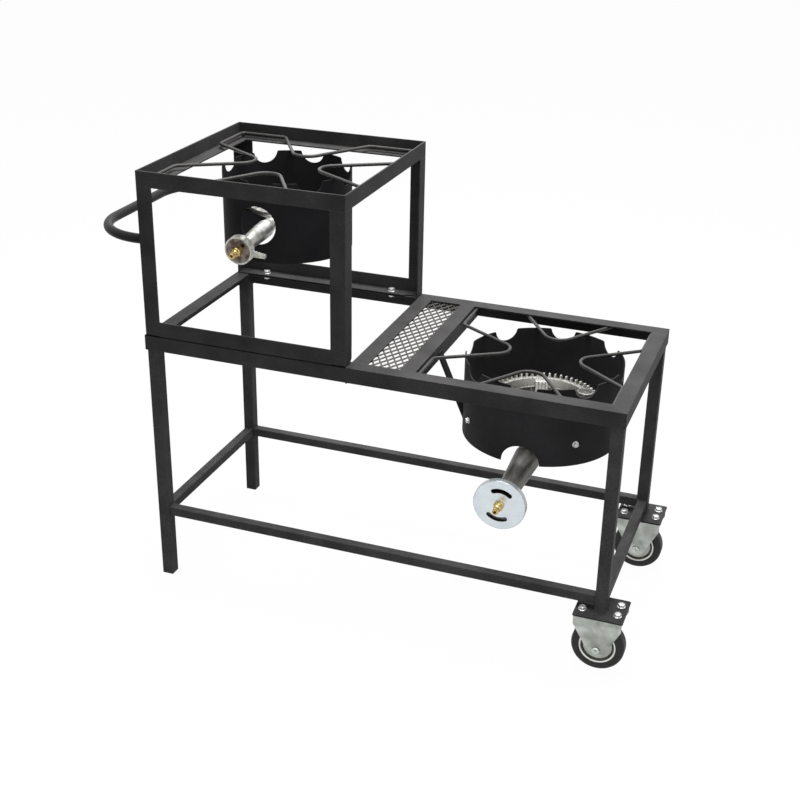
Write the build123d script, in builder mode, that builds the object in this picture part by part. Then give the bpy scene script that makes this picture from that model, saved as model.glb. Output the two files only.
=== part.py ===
from build123d import *
import os
from math import asin, atan2, cos, hypot, pi, radians, sin, sqrt, tan

# Two burner gas stove on a welded angle iron frame, in millimetres.
# +X runs towards the caster end, +Y to the back and +Z up. The origin is on the floor,
# under the middle of the whole stove.

# Lower frame: mitred angle iron on square tube legs
frame_length = 1000.0
frame_width = 450.0
frame_height = 572.0
angle_leg = 32.0
angle_wall = 3.0
leg_side = 25.0
leg_wall = 2.0
tube_corner = 1.5
stretcher_side = 20.0
stretcher_wall = 1.5
stretcher_rise = 150.0
cap_flange = 3.0
cap_plug = 15.0
cap_clearance = 0.2

# Shelf of expanded mesh between two angle crossbars
shelf_gap = 1.0
shelf_opening = 68.0
mesh_thick = 1.5
mesh_lap = 12.0
mesh_pitch_across = 17.0
mesh_pitch_along = 30.0
mesh_strand = 2.6

# Raised box on the left half, bolted down on the lower frame
box_inset = 4.0
box_length = 442.0
box_height = 345.0
box_bolt_inset = 67.0

# Push handle, a round tube bent to a U
handle_diameter = 20.0
handle_wall = 1.5
handle_reach = 132.0
handle_bend = 115.0
handle_rise = 201.0

# Wire trivets, each one closed rod with four loops
trivet_wire = 7.0
trivet_seat = 0.2
trivet_peg = 6.0
trivet_peg_height = 6.0
trivet_spread = 99.0
trivet_tip_bend = 32.0
upper_edge_gap = 10.0
upper_tip_distance = 74.0
lower_edge_gap = 1.5
lower_side_tip_distance = 74.0
lower_front_tip_distance = 90.0
trivet_side_bend = 14.0
trivet_corner_bend = 9.0

# Wind shields, sheet steel cylinders with a scalloped top edge
shield_wall = 2.0
shield_trivet_gap = 0.3
shield_scallops = 8
scallop_radius = 26.0
scallop_depth = 24.0
scallop_corner = 4.0
lower_shield_radius = 161.0
lower_shield_height = 165.5
lower_arch_radius = 39.0
upper_shield_radius = 133.0
upper_shield_height = 163.8
upper_hole_radius = 39.0
upper_hole_drop = 88.5
upper_hole_shift = -7.0

# Flat steel that carries the burners and the lower wind shield
strap_width = 20.0
strap_thick = 4.0
strap_tab = 20.0
strap_bolt_drop = 6.5
strap_gap = 0.05
strap_angle = 39.0
hanger_width = 22.0
hanger_thick = 4.0
hanger_top_drop = 21.0
hanger_fall = 119.0
hanger_offset = 40.0

# Lower ring burner, a toothed casting on a base plate
ring_outer = 112.0
ring_rim = 94.0
ring_inner = 76.0
ring_height = 24.0
ring_wall = 5.0
ring_cone_wall = 6.0
ring_roof = 8.0
ring_top_drop = 91.0
ring_slots = 56
ring_slot_width = 5.5
ring_slot_depth = 10.0
lug_inner = 68.0
lug_width = 30.0
lug_height = 18.0
lug_angle = 105.0
boss_radius = 20.0
boss_centre = 89.0
boss_rise = 1.5
boss_height = 12.0
boss_angle = 28.0
boss_round = 1.0
base_thick = 4.0

# Lower mixing tube, shutter and nozzle, on an axis that falls to the front
lower_tilt = 1.2
lower_axis_drop = 18.5
lower_tube_reach = 135.7
lower_tube_mouth = 18.5
lower_tube_end = 27.5
lower_tube_wall = 4.0
riser_radius = 15.0
riser_wall = 4.0
lower_cup_radius = 51.5
lower_cup_depth = 12.0
air_slot_radius = 30.5
air_slot_half_angle = 32.0
air_slot_width = 9.5
air_slot_angle = 82.0
lower_nozzle_length = 28.0

# Upper burner, a pan with a side inlet under a perforated cap
pan_radius = 80.0
pan_rim_drop = 108.0
pan_rim = 4.0
pan_depth = 12.0
pan_floor_radius = 58.0
pan_wall = 4.0
cap_rim = 4.0
cap_dome = 6.0
cap_thick = 4.0
cap_flat_radius = 66.0
cap_hole = 7.0
cap_row_radii = (70.0, 54.0, 38.0)
cap_hole_pitch = 18.0
upper_tilt = 4.5
upper_axis_drop = 17.2
upper_tube_reach = 99.3
upper_tube_mouth = 13.5
upper_tube_radius = 14.0
upper_swell_radius = 17.5
upper_swell_run = 24.0
upper_swell_taper = 16.0
upper_tube_wall = 3.0
upper_tube_run = 108.0
upper_cup_radius = 28.5
upper_cup_depth = 15.0
upper_ear_reach = 57.0
upper_ear_root = 15.0
upper_ear_tip = 7.0
upper_ear_turn = -6.0
upper_ear_fillet = 12.0
upper_ear_depth = 7.0
upper_air_hole = 8.0
upper_air_hole_radius = 17.0
upper_air_hole_angle = 50.0
upper_nozzle_length = 28.0

# Air shutters and brass nozzles
cup_sheet = 2.0
cup_gap = 0.5
shutter_gap = 0.3
running_gap = 0.05
mouth_disc = 3.0
shank_radius = 5.0
nozzle_flats = 17.0
nozzle_hex = 9.0
nozzle_neck_radius = 7.5
nozzle_neck = 4.0
nozzle_tip_radius = 6.0
nozzle_tip = 8.0
nozzle_bore = 3.0
nozzle_bore_depth = 14.0
jet_radius = 3.0
jet_length = 6.0
lock_nut = 4.0
bell_wall = 3.0
bell_run = 8.0
cup_round = 1.2

# Rigid casters under the right legs
caster_plate_length = 100.0
caster_plate_width = 85.0
caster_plate_thick = 4.0
caster_plate_corner = 2.0
caster_plate_top = 137.0
caster_shift_out = 0.0
caster_shift_in = 3.5
caster_bolt_x = 70.0
caster_bolt_y = 36.0
fork_length = 96.0
fork_half_top = 40.0
fork_half_bottom = 24.0
fork_sheet = 3.0
fork_shoulder = 19.0
fork_end_radius = 18.0
wheel_radius = 54.0
tyre_width = 32.0
tyre_shoulder = 8.0
tyre_gap = 0.1
rim_radius = 38.0
rim_lip = 4.0
rim_inset = 1.0
groove_width = 4.0
groove_depth = 9.0
disc_half = 11.0
hub_radius = 12.0
hub_half = 20.0
axle_radius = 5.0
axle_head_radius = 8.0
axle_head = 3.0
axle_head_round = 1.5

# Flange head bolts: thread radius, flats, head, flange radius, flange and nut
hole_gap = 0.2
bolt_tail = 2.0
bolt_m6 = {"thread": 3.0, "flats": 10.0, "head": 4.0, "flange": 6.5, "washer": 1.2, "nut": 5.0}
bolt_m8 = {"thread": 4.0, "flats": 13.0, "head": 5.0, "flange": 8.5, "washer": 1.5, "nut": 6.5}

# Where the frame stands about the origin
leg_centre = angle_wall + leg_side / 2
reach_left = handle_reach + handle_diameter / 2 - box_inset
reach_right = max(caster_plate_length / 2, wheel_radius) + caster_shift_out - leg_centre
lower_tip = lower_tube_reach + shutter_gap + lower_nozzle_length
lower_tip_ahead = lower_tip * cos(radians(lower_tilt)) + nozzle_tip_radius * sin(radians(lower_tilt))
reach_front = lower_tip_ahead - (frame_width / 2 - lower_shield_radius)
reach_back = caster_plate_width / 2 - caster_shift_in - leg_centre
x_left = (reach_left - reach_right - frame_length) / 2
x_right = x_left + frame_length
y_front = (reach_front - reach_back - frame_width) / 2
y_back = y_front + frame_width
y_mid = (y_front + y_back) / 2

# Levels and places that several pieces share
flange_under = frame_height - angle_wall
web_foot = frame_height - angle_leg
box_left = x_left + box_inset
box_right = box_left + box_length
box_mid = (box_left + box_right) / 2
box_top = frame_height + box_height
recess_floor = box_top - angle_leg + angle_wall
shelf_left = box_right + shelf_gap
shelf_right = shelf_left + shelf_opening + 2 * angle_leg
bay_left = shelf_right
bay_right = x_right - angle_wall
bay_mid = (bay_left + bay_right) / 2
upper_wire_level = recess_floor + trivet_peg_height + trivet_wire / 2
lower_wire_level = flange_under - trivet_seat - trivet_wire / 2
upper_shield_top = upper_wire_level - trivet_wire / 2 - shield_trivet_gap
lower_shield_top = lower_wire_level - trivet_wire / 2 - shield_trivet_gap
upper_shield_foot = upper_shield_top - upper_shield_height
lower_shield_foot = lower_shield_top - lower_shield_height
ring_foot = frame_height - ring_top_drop - ring_height
lower_strap_top = ring_foot - base_thick
lower_bolt_level = lower_strap_top - strap_thick - strap_bolt_drop
pan_rim_foot = box_top - pan_rim_drop
pan_floor = pan_rim_foot - pan_depth
pan_seat = pan_rim_foot + pan_rim


def save(piece, name):
    """Label a finished piece and write its file."""
    piece.part.label = name
    export_step(piece.part, f"parts/{name}.step")


os.makedirs("parts", exist_ok=True)


# Angle iron rails of the three rectangles, mitred at the corners
def frame_sides(x_low, x_high):
    """Plan plane and length of each side of a rectangle as wide as the frame, y pointing inward."""
    x_middle = (x_low + x_high) / 2
    return {
        "front": (Plane((x_middle, y_front, 0), x_dir=(1, 0, 0)), x_high - x_low),
        "right": (Plane((x_high, y_mid, 0), x_dir=(0, 1, 0)), frame_width),
        "back": (Plane((x_middle, y_back, 0), x_dir=(-1, 0, 0)), x_high - x_low),
        "left": (Plane((x_low, y_mid, 0), x_dir=(0, -1, 0)), frame_width),
    }


def mitred_angle(plane, length, web_base, flange_base, bolt_places=()):
    """Angle iron along one side, a standing web outside and a flange inward, drilled for bolts."""
    with BuildPart() as rail:
        for depth, base, height in (
            (angle_wall, web_base, angle_leg),
            (angle_leg, flange_base, angle_wall),
        ):
            with BuildSketch(plane.offset(base)):
                with BuildLine():
                    Polyline(
                        (-length / 2, 0),
                        (length / 2, 0),
                        (length / 2 - depth, depth),
                        (-length / 2 + depth, depth),
                        close=True,
                    )
                make_face()
            extrude(amount=height)
        if bolt_places:
            with BuildSketch(Plane.XY.offset(flange_base)):
                with Locations(*bolt_places):
                    Circle(bolt_m8["thread"] + hole_gap)
            extrude(amount=angle_wall, mode=Mode.SUBTRACT)
    return rail


bolt_xs = (box_left + box_bolt_inset, box_right - box_bolt_inset)
box_bolts_at = {
    "front": [(x, y_front + angle_leg / 2) for x in bolt_xs],
    "back": [(x, y_back - angle_leg / 2) for x in bolt_xs],
}

for side, (plane, length) in frame_sides(x_left, x_right).items():
    rail = mitred_angle(plane, length, web_foot, flange_under, box_bolts_at.get(side, ()))
    save(rail, f"frame_rail_{side}")

for side, (plane, length) in frame_sides(box_left, box_right).items():
    rail = mitred_angle(plane, length, frame_height, frame_height, box_bolts_at.get(side, ()))
    save(rail, f"box_bottom_rail_{side}")
    rail = mitred_angle(plane, length, box_top - angle_leg, box_top - angle_leg)
    save(rail, f"box_top_rail_{side}")


# Corner posts of the box, angle iron between its rails
post_foot = frame_height + angle_leg
post_height = box_height - 2 * angle_leg
for name, x_corner, y_corner, x_in, y_in in (
    ("front_left", box_left, y_front, 1, 1),
    ("front_right", box_right, y_front, -1, 1),
    ("back_left", box_left, y_back, 1, -1),
    ("back_right", box_right, y_back, -1, -1),
):
    with BuildPart() as post:
        with BuildSketch(Plane((x_corner, y_corner, post_foot))):
            with BuildLine():
                Polyline(
                    (0, 0),
                    (x_in * angle_leg, 0),
                    (x_in * angle_leg, y_in * angle_wall),
                    (x_in * angle_wall, y_in * angle_wall),
                    (x_in * angle_wall, y_in * angle_leg),
                    (0, y_in * angle_leg),
                    close=True,
                )
            make_face()
        extrude(amount=post_height)
    save(post, f"box_post_{name}")


# Square tube legs and stretchers
def square_tube(plane, side, wall, length):
    """Square tube with rounded outer corners, along the plane's normal."""
    with BuildPart() as tube:
        with BuildSketch(plane):
            RectangleRounded(side, side, tube_corner)
            Rectangle(side - 2 * wall, side - 2 * wall, mode=Mode.SUBTRACT)
        extrude(amount=length)
    return tube


leg_left = x_left + leg_centre
leg_right = x_right - leg_centre
leg_front = y_front + leg_centre
leg_back = y_back - leg_centre
for name, x, y, foot in (
    ("front_left", leg_left, leg_front, cap_flange),
    ("back_left", leg_left, leg_back, cap_flange),
    ("front_right", leg_right, leg_front, caster_plate_top),
    ("back_right", leg_right, leg_back, caster_plate_top),
):
    save(square_tube(Plane((x, y, foot)), leg_side, leg_wall, flange_under - foot), f"leg_{name}")

stretcher_level = stretcher_rise + stretcher_side / 2
for name, y in (("front", leg_front), ("back", leg_back)):
    start = Plane((leg_left + leg_side / 2, y, stretcher_level), x_dir=(0, 1, 0), z_dir=(1, 0, 0))
    length = leg_right - leg_left - leg_side
    save(square_tube(start, stretcher_side, stretcher_wall, length), f"stretcher_{name}")
for name, x in (("left", leg_left), ("right", leg_right)):
    start = Plane((x, leg_front + leg_side / 2, stretcher_level), x_dir=(1, 0, 0), z_dir=(0, 1, 0))
    length = leg_back - leg_front - leg_side
    save(square_tube(start, stretcher_side, stretcher_wall, length), f"stretcher_{name}")

# Plastic caps pushed into the two legs that stand on the floor
plug_side = leg_side - 2 * leg_wall - 2 * cap_clearance
with BuildPart() as foot_caps:
    for y in (leg_front, leg_back):
        with BuildSketch(Plane((leg_left, y, 0))):
            RectangleRounded(leg_side, leg_side, tube_corner)
        extrude(amount=cap_flange)
        with BuildSketch(Plane((leg_left, y, cap_flange))):
            Rectangle(plug_side, plug_side)
        extrude(amount=cap_plug)
save(foot_caps, "foot_caps")


# Crossbars of the shelf: the flange lies flush between the rails, the web runs on under them
def crossbar(web_x, inward):
    """Angle across the frame, its web at web_x and its flange pointing inward."""
    with BuildPart() as bar:
        with BuildSketch(Plane((web_x, y_mid, web_foot))):
            with Locations((inward * angle_wall / 2, 0)):
                Rectangle(angle_wall, frame_width - 2 * angle_wall)
        extrude(amount=flange_under - web_foot)
        with BuildSketch(Plane((web_x, y_mid, flange_under))):
            with Locations((inward * angle_leg / 2, 0)):
                Rectangle(angle_leg, frame_width - 2 * angle_leg)
        extrude(amount=angle_wall)
    return bar


save(crossbar(shelf_left, 1), "crossbar_left")
save(crossbar(shelf_right, -1), "crossbar_right")

# Expanded mesh under the crossbars' flanges, one sheet with two staggered sets of diamonds
mesh_depth = frame_width - 2 * angle_leg
half_across = mesh_pitch_across / 2
half_along = mesh_pitch_along / 2
cell_half = half_across * half_along / hypot(half_across, half_along)
hole_share = (cell_half - mesh_strand / 2) / cell_half
mesh_columns = int(shelf_opening / mesh_pitch_across) + 1
mesh_rows = int(mesh_depth / mesh_pitch_along) + 1
diamond = (
    (-half_across * hole_share, 0),
    (0, -half_along * hole_share),
    (half_across * hole_share, 0),
    (0, half_along * hole_share),
)
shelf_mid = (shelf_left + shelf_right) / 2
with BuildPart() as shelf_mesh:
    with BuildSketch(Plane((shelf_mid, y_mid, flange_under - mesh_thick))):
        Rectangle(shelf_opening + 2 * mesh_lap, mesh_depth + 2 * mesh_lap)
        with GridLocations(mesh_pitch_across, mesh_pitch_along, mesh_columns, mesh_rows):
            Polygon(*diamond, mode=Mode.SUBTRACT)
        with GridLocations(mesh_pitch_across, mesh_pitch_along, mesh_columns - 1, mesh_rows - 1):
            Polygon(*diamond, mode=Mode.SUBTRACT)
    extrude(amount=mesh_thick)
save(shelf_mesh, "shelf_mesh")

# Push handle, welded to the outer faces of the two left posts
grip_x = box_left - handle_reach
handle_level = frame_height + handle_rise
arm_front = y_front + angle_leg / 2
arm_back = y_back - angle_leg / 2
with BuildPart() as handle:
    with BuildLine() as handle_path:
        FilletPolyline(
            (box_left, arm_front, handle_level),
            (grip_x, arm_front, handle_level),
            (grip_x, arm_back, handle_level),
            (box_left, arm_back, handle_level),
            radius=handle_bend,
        )
    with BuildSketch(Plane((box_left, arm_front, handle_level), x_dir=(0, 1, 0), z_dir=(-1, 0, 0))):
        Circle(handle_diameter / 2)
        Circle(handle_diameter / 2 - handle_wall, mode=Mode.SUBTRACT)
    sweep(path=handle_path.wires()[0])
save(handle, "handle")


# Trivets: the rod follows the opening and dips to the burner from each side in a round tipped loop
def trivet(x_burner, x_low, x_high, y_low, y_high, level, front_tip, side_tip, peg_height):
    """Closed rod round the rectangle, a loop towards the burner from each side, pegs at the corners."""
    points = []
    for along, inward, corner, depth, tip in (
        ((1, 0), (0, 1), x_low - x_burner, y_mid - y_low, front_tip),
        ((0, 1), (-1, 0), y_low - y_mid, x_high - x_burner, side_tip),
        ((-1, 0), (0, -1), x_burner - x_high, y_high - y_mid, front_tip),
        ((0, -1), (1, 0), y_mid - y_high, x_burner - x_low, side_tip),
    ):
        tip_centre = depth - tip - trivet_tip_bend
        reach = hypot(trivet_spread, tip_centre)
        arm_angle = atan2(trivet_spread, tip_centre) - asin(trivet_tip_bend / reach)
        apex = trivet_spread / tan(arm_angle)
        for u, v in ((corner, 0), (-trivet_spread, 0), (0, apex), (trivet_spread, 0)):
            x = x_burner + along[0] * u + inward[0] * (v - depth)
            y = y_mid + along[1] * u + inward[1] * (v - depth)
            points.append((x, y, level))
    bends = [trivet_corner_bend, trivet_side_bend, trivet_tip_bend, trivet_side_bend] * 4
    peg_inset = trivet_corner_bend * (1 - sqrt(0.5))
    with BuildPart() as rod:
        with BuildLine() as rod_path:
            FilletPolyline(*points, radius=bends, close=True)
        path = rod_path.wires()[0]
        with BuildSketch(Plane(path @ 0, z_dir=path % 0)):
            Circle(trivet_wire / 2)
        sweep(path=path)
        if peg_height:
            with BuildSketch(Plane((0, 0, level))):
                with Locations(
                    (x_low + peg_inset, y_low + peg_inset),
                    (x_high - peg_inset, y_low + peg_inset),
                    (x_high - peg_inset, y_high - peg_inset),
                    (x_low + peg_inset, y_high - peg_inset),
                ):
                    Circle(trivet_peg / 2)
            extrude(amount=-trivet_wire / 2 - peg_height)
    return rod


upper_inset = angle_wall + upper_edge_gap + trivet_wire / 2
upper_trivet = trivet(
    box_mid,
    box_left + upper_inset,
    box_right - upper_inset,
    y_front + upper_inset,
    y_back - upper_inset,
    upper_wire_level,
    upper_tip_distance,
    upper_tip_distance,
    trivet_peg_height,
)
save(upper_trivet, "upper_trivet")

lower_inset = lower_edge_gap + trivet_wire / 2
lower_trivet = trivet(
    bay_mid,
    bay_left + lower_inset,
    bay_right - leg_side - lower_inset,
    y_front + angle_wall + lower_inset,
    y_back - angle_wall - lower_inset,
    lower_wire_level,
    lower_front_tip_distance,
    lower_side_tip_distance,
    0,
)
save(lower_trivet, "lower_trivet")


# Wind shields: rolled sheet, the tabs between the scallops reach up to the trivet's arms
def outward_from(angle):
    """Level direction at an angle from +X, counted from above."""
    return (cos(radians(angle)), sin(radians(angle)), 0)


def wind_shield(x, radius, foot, top, opening_radius, opening_level, opening_shift, bolt_angles):
    """Scalloped cylinder with an opening for the inlet at the front and holes for the straps' bolts."""
    with BuildPart() as shield:
        with BuildSketch(Plane((x, y_mid, foot))):
            Circle(radius)
            Circle(radius - shield_wall, mode=Mode.SUBTRACT)
        extrude(amount=top - foot)
        for index in range(shield_scallops):
            outward = outward_from(360 / shield_scallops * index)
            with BuildSketch(Plane((x, y_mid, top - scallop_depth + scallop_radius), z_dir=outward)):
                Circle(scallop_radius)
            extrude(amount=radius + shield_wall, mode=Mode.SUBTRACT)
        fillet(shield.edges().filter_by(GeomType.LINE).group_by(Axis.Z)[-1], scallop_corner)
        with BuildSketch(Plane((x + opening_shift, y_mid, opening_level), x_dir=(1, 0, 0), z_dir=(0, -1, 0))):
            Circle(opening_radius)
        extrude(amount=radius + shield_wall, mode=Mode.SUBTRACT)
        for angle in bolt_angles:
            with BuildSketch(Plane((x, y_mid, lower_bolt_level), z_dir=outward_from(angle))):
                Circle(bolt_m6["thread"] + hole_gap)
            extrude(amount=radius + shield_wall, mode=Mode.SUBTRACT)
    return shield


strap_angles = [strap_angle + 90 * turn for turn in range(4)]
lower_wind_shield = wind_shield(
    bay_mid,
    lower_shield_radius,
    lower_shield_foot,
    lower_shield_top,
    lower_arch_radius,
    lower_shield_foot,
    0,
    strap_angles,
)
save(lower_wind_shield, "lower_wind_shield")

upper_wind_shield = wind_shield(
    box_mid,
    upper_shield_radius,
    upper_shield_foot,
    upper_shield_top,
    upper_hole_radius,
    upper_shield_top - upper_hole_drop,
    upper_hole_shift,
    [],
)
save(upper_wind_shield, "upper_wind_shield")


# Flat straps across the shields, their ends bent down against the wall
def tab_face(shield_radius):
    """Distance from the burner's axis to the outer face of a strap's bent end."""
    return sqrt((shield_radius - shield_wall) ** 2 - (strap_width / 2) ** 2) - strap_gap


def radial_straps(x, shield_radius, top, rays, tab_hole, centre_hole):
    """Straps from the middle out to the shield, one for each angle and inner end."""
    face = tab_face(shield_radius)
    with BuildPart() as straps:
        for angle, start in rays:
            outward = outward_from(angle)
            with BuildSketch(Plane((x, y_mid, top - strap_thick), x_dir=outward)):
                with Locations(((start + face) / 2, 0)):
                    Rectangle(face - start, strap_width)
            extrude(amount=strap_thick)
            with BuildSketch(Plane((x, y_mid, top - strap_thick), x_dir=outward)):
                with Locations((face - strap_thick / 2, 0)):
                    Rectangle(strap_thick, strap_width)
            extrude(amount=-strap_tab)
            if tab_hole:
                with BuildSketch(Plane((x, y_mid, top - strap_thick - strap_bolt_drop), z_dir=outward)):
                    Circle(tab_hole)
                extrude(amount=face + strap_thick, mode=Mode.SUBTRACT)
        if centre_hole:
            with BuildSketch(Plane((x, y_mid, top - strap_thick))):
                Circle(centre_hole)
            extrude(amount=strap_thick, mode=Mode.SUBTRACT)
    return straps


hole_m6 = bolt_m6["thread"] + hole_gap
bar_rays = [(strap_angles[0], 0), (strap_angles[2], 0)]
arm_rays = [(strap_angles[1], strap_width / 2), (strap_angles[3], strap_width / 2)]
pan_rays = [(0, 0), (180, 0)]
lower_bar = radial_straps(bay_mid, lower_shield_radius, lower_strap_top, bar_rays, hole_m6, 0)
lower_arms = radial_straps(bay_mid, lower_shield_radius, lower_strap_top, arm_rays, hole_m6, 0)
upper_bar = radial_straps(box_mid, upper_shield_radius, pan_floor, pan_rays, 0, hole_m6)
save(lower_bar, "lower_support_bar")
save(lower_arms, "lower_support_arms")
save(upper_bar, "upper_support_bar")


# Hangers: flat bar from a web down to the lower wind shield, the lower end shaped to its wall
def hanger(web_x, towards, y_offset):
    """Slanted flat bar from the web at web_x, running towards the shield."""
    span = abs(bay_mid - web_x)
    run = span - sqrt(lower_shield_radius**2 - hanger_offset**2)
    slope = hanger_fall / run
    half_height = hanger_thick / 2 * hypot(1, slope)
    far = span - sqrt(lower_shield_radius**2 - (hanger_offset + hanger_width / 2) ** 2) + hanger_thick
    start = (web_x, y_mid + y_offset, frame_height - hanger_top_drop)
    with BuildPart() as bar:
        with BuildSketch(Plane(start, x_dir=(towards, 0, 0), z_dir=(0, -towards, 0))):
            with BuildLine():
                Polyline(
                    (0, half_height),
                    (far, half_height - slope * far),
                    (far, -half_height - slope * far),
                    (0, -half_height),
                    close=True,
                )
            make_face()
        extrude(amount=hanger_width / 2, both=True)
        with BuildSketch(Plane((bay_mid, y_mid, 0))):
            Circle(lower_shield_radius + strap_gap)
        extrude(amount=frame_height, mode=Mode.SUBTRACT)
    return bar


save(hanger(bay_left, 1, -hanger_offset), "lower_hanger_left")
save(hanger(bay_right, -1, hanger_offset), "lower_hanger_right")

# Lower ring burner: a channel casting, open below, coned inside, with teeth, lugs and turned bosses
ring_base = Plane((bay_mid, y_mid, ring_foot))
ring_top = ring_base.offset(ring_height)
ring_axis = Axis((bay_mid, y_mid, 0), (0, 0, 1))
ring_section = Plane((bay_mid, y_mid, ring_foot), x_dir=(1, 0, 0), z_dir=(0, -1, 0))
cone_slope = (ring_rim - ring_inner) / ring_height
channel_inner = ring_inner + ring_cone_wall
channel_outer = ring_outer - ring_wall
channel_height = ring_height - ring_roof
ring_mid = (channel_inner + channel_outer) / 2
with BuildSketch(ring_base) as lug_plan:
    with PolarLocations((lug_inner + ring_mid) / 2, 2, start_angle=lug_angle):
        Rectangle(ring_mid - lug_inner, lug_width)

with BuildPart() as lower_ring_burner:
    with BuildSketch(ring_section):
        with BuildLine():
            Polyline(
                (ring_inner, 0),
                (ring_outer, 0),
                (ring_outer, ring_height),
                (ring_rim, ring_height),
                close=True,
            )
        make_face()
    revolve(axis=ring_axis)
    extrude(lug_plan.sketch, amount=lug_height)
    with BuildSketch(ring_section):
        with BuildLine():
            Polyline(
                (channel_inner, 0),
                (channel_outer, 0),
                (channel_outer, channel_height),
                (channel_inner + cone_slope * channel_height, channel_height),
                close=True,
            )
        make_face()
    revolve(axis=ring_axis, mode=Mode.SUBTRACT)
    with BuildSketch(ring_top):
        with PolarLocations(ring_outer, ring_slots):
            Rectangle(2 * (ring_outer - ring_rim), ring_slot_width)
    extrude(amount=-ring_slot_depth, mode=Mode.SUBTRACT)
    with BuildSketch(ring_top.offset(boss_rise)):
        with PolarLocations(boss_centre, 2, start_angle=boss_angle):
            Circle(boss_radius)
    extrude(amount=-boss_height)
    fillet(lower_ring_burner.faces().group_by(Axis.Z)[-1].edges(), boss_round)
save(lower_ring_burner, "lower_ring_burner")

# Base plate that closes the channel, with the hole where the mixing tube comes in
riser_bore = riser_radius - riser_wall
with BuildPart() as lower_burner_base:
    with BuildSketch(ring_base):
        Circle(ring_outer)
        Circle(ring_inner, mode=Mode.SUBTRACT)
        add(lug_plan.sketch_local)
        with Locations((0, -ring_mid)):
            Circle(riser_bore, mode=Mode.SUBTRACT)
    extrude(amount=-base_thick)
save(lower_burner_base, "lower_burner_base")


# Inlet axes: each burner's tube, shutter and nozzle lie on a line that falls to the front
def inlet_line(x, shield_radius, level, tilt):
    """Axis from the shield's front wall outward, the plane across it and the plane along it."""
    start = (x, y_mid - shield_radius, level)
    outward = (0, -cos(radians(tilt)), -sin(radians(tilt)))
    across = Plane(start, x_dir=(1, 0, 0), z_dir=outward)
    along = Plane(start, x_dir=(1, 0, 0), z_dir=(0, sin(radians(tilt)), -cos(radians(tilt))))
    return Axis(start, outward), across, along


lower_level = lower_shield_foot - lower_axis_drop
lower_axis, lower_across, lower_along = inlet_line(bay_mid, lower_shield_radius, lower_level, lower_tilt)
upper_level = pan_rim_foot - upper_axis_drop
upper_axis, upper_across, upper_along = inlet_line(box_mid, upper_shield_radius, upper_level, upper_tilt)
disc_inset = cup_sheet + shutter_gap
shank_hole = shank_radius + hole_gap / 2
air_slot_arcs = [
    CenterArc((0, 0), air_slot_radius, middle - air_slot_half_angle, 2 * air_slot_half_angle)
    for middle in (air_slot_angle, air_slot_angle + 180)
]

# Lower mixing tube: a cast venturi with a bell at the mouth, its closed end carrying a riser to the ring
lower_disc_front = lower_tube_reach - disc_inset
lower_disc_back = lower_disc_front - mouth_disc
lower_bell = lower_cup_radius - cup_sheet - cup_gap
lower_bell_back = lower_tube_reach - lower_cup_depth
lower_bell_start = lower_bell_back - bell_run
riser_y = y_mid - ring_mid
riser_at = (ring_mid - lower_shield_radius) / cos(radians(lower_tilt))
riser_level = lower_level + (lower_shield_radius - ring_mid) * tan(radians(lower_tilt))
tube_hollow = lower_tube_end - lower_tube_wall
with BuildPart() as lower_mixing_tube:
    with BuildSketch(lower_along):
        with BuildLine():
            CenterArc((0, riser_at), lower_tube_end, -90, 90)
            Polyline(
                (lower_tube_end, riser_at),
                (lower_tube_mouth, lower_bell_start),
                (lower_bell, lower_bell_back),
                (lower_bell, lower_disc_front),
                (0, lower_disc_front),
                (0, riser_at - lower_tube_end),
            )
        make_face()
    revolve(axis=lower_axis)
    with BuildSketch(Plane((bay_mid, riser_y, riser_level))):
        Circle(riser_radius)
    extrude(amount=lower_strap_top - riser_level)
    with BuildSketch(lower_along):
        with BuildLine():
            CenterArc((0, riser_at), tube_hollow, -90, 90)
            Polyline(
                (tube_hollow, riser_at),
                (lower_tube_mouth - lower_tube_wall, lower_bell_start),
                (lower_bell - bell_wall, lower_bell_back + bell_wall),
                (lower_bell - bell_wall, lower_disc_back),
                (0, lower_disc_back),
                (0, riser_at - tube_hollow),
            )
        make_face()
    revolve(axis=lower_axis, mode=Mode.SUBTRACT)
    with BuildSketch(Plane((bay_mid, riser_y, riser_level))):
        Circle(riser_bore)
    extrude(amount=lower_strap_top - riser_level, mode=Mode.SUBTRACT)
    with BuildSketch(lower_across.offset(lower_disc_back)):
        Circle(shank_hole)
        for arc in air_slot_arcs:
            SlotArc(arc, air_slot_width)
    extrude(amount=mouth_disc, mode=Mode.SUBTRACT)
save(lower_mixing_tube, "lower_mixing_tube")

# Lower air shutter: a pressed cup that turns on the nozzle's shank over the slotted mouth
with BuildPart() as lower_air_shutter:
    with BuildSketch(lower_across.offset(lower_bell_back)):
        Circle(lower_cup_radius)
    extrude(amount=lower_cup_depth)
    fillet(lower_air_shutter.faces().sort_by(lower_axis)[-1].edges(), cup_round)
    with BuildSketch(lower_across.offset(lower_bell_back)):
        Circle(lower_cup_radius - cup_sheet)
    extrude(amount=lower_cup_depth - cup_sheet, mode=Mode.SUBTRACT)
    with BuildSketch(lower_across.offset(lower_tube_reach - cup_sheet)):
        Circle(shank_radius + running_gap)
        for arc in air_slot_arcs:
            SlotArc(arc, air_slot_width)
    extrude(amount=cup_sheet, mode=Mode.SUBTRACT)
save(lower_air_shutter, "lower_air_shutter")


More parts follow.
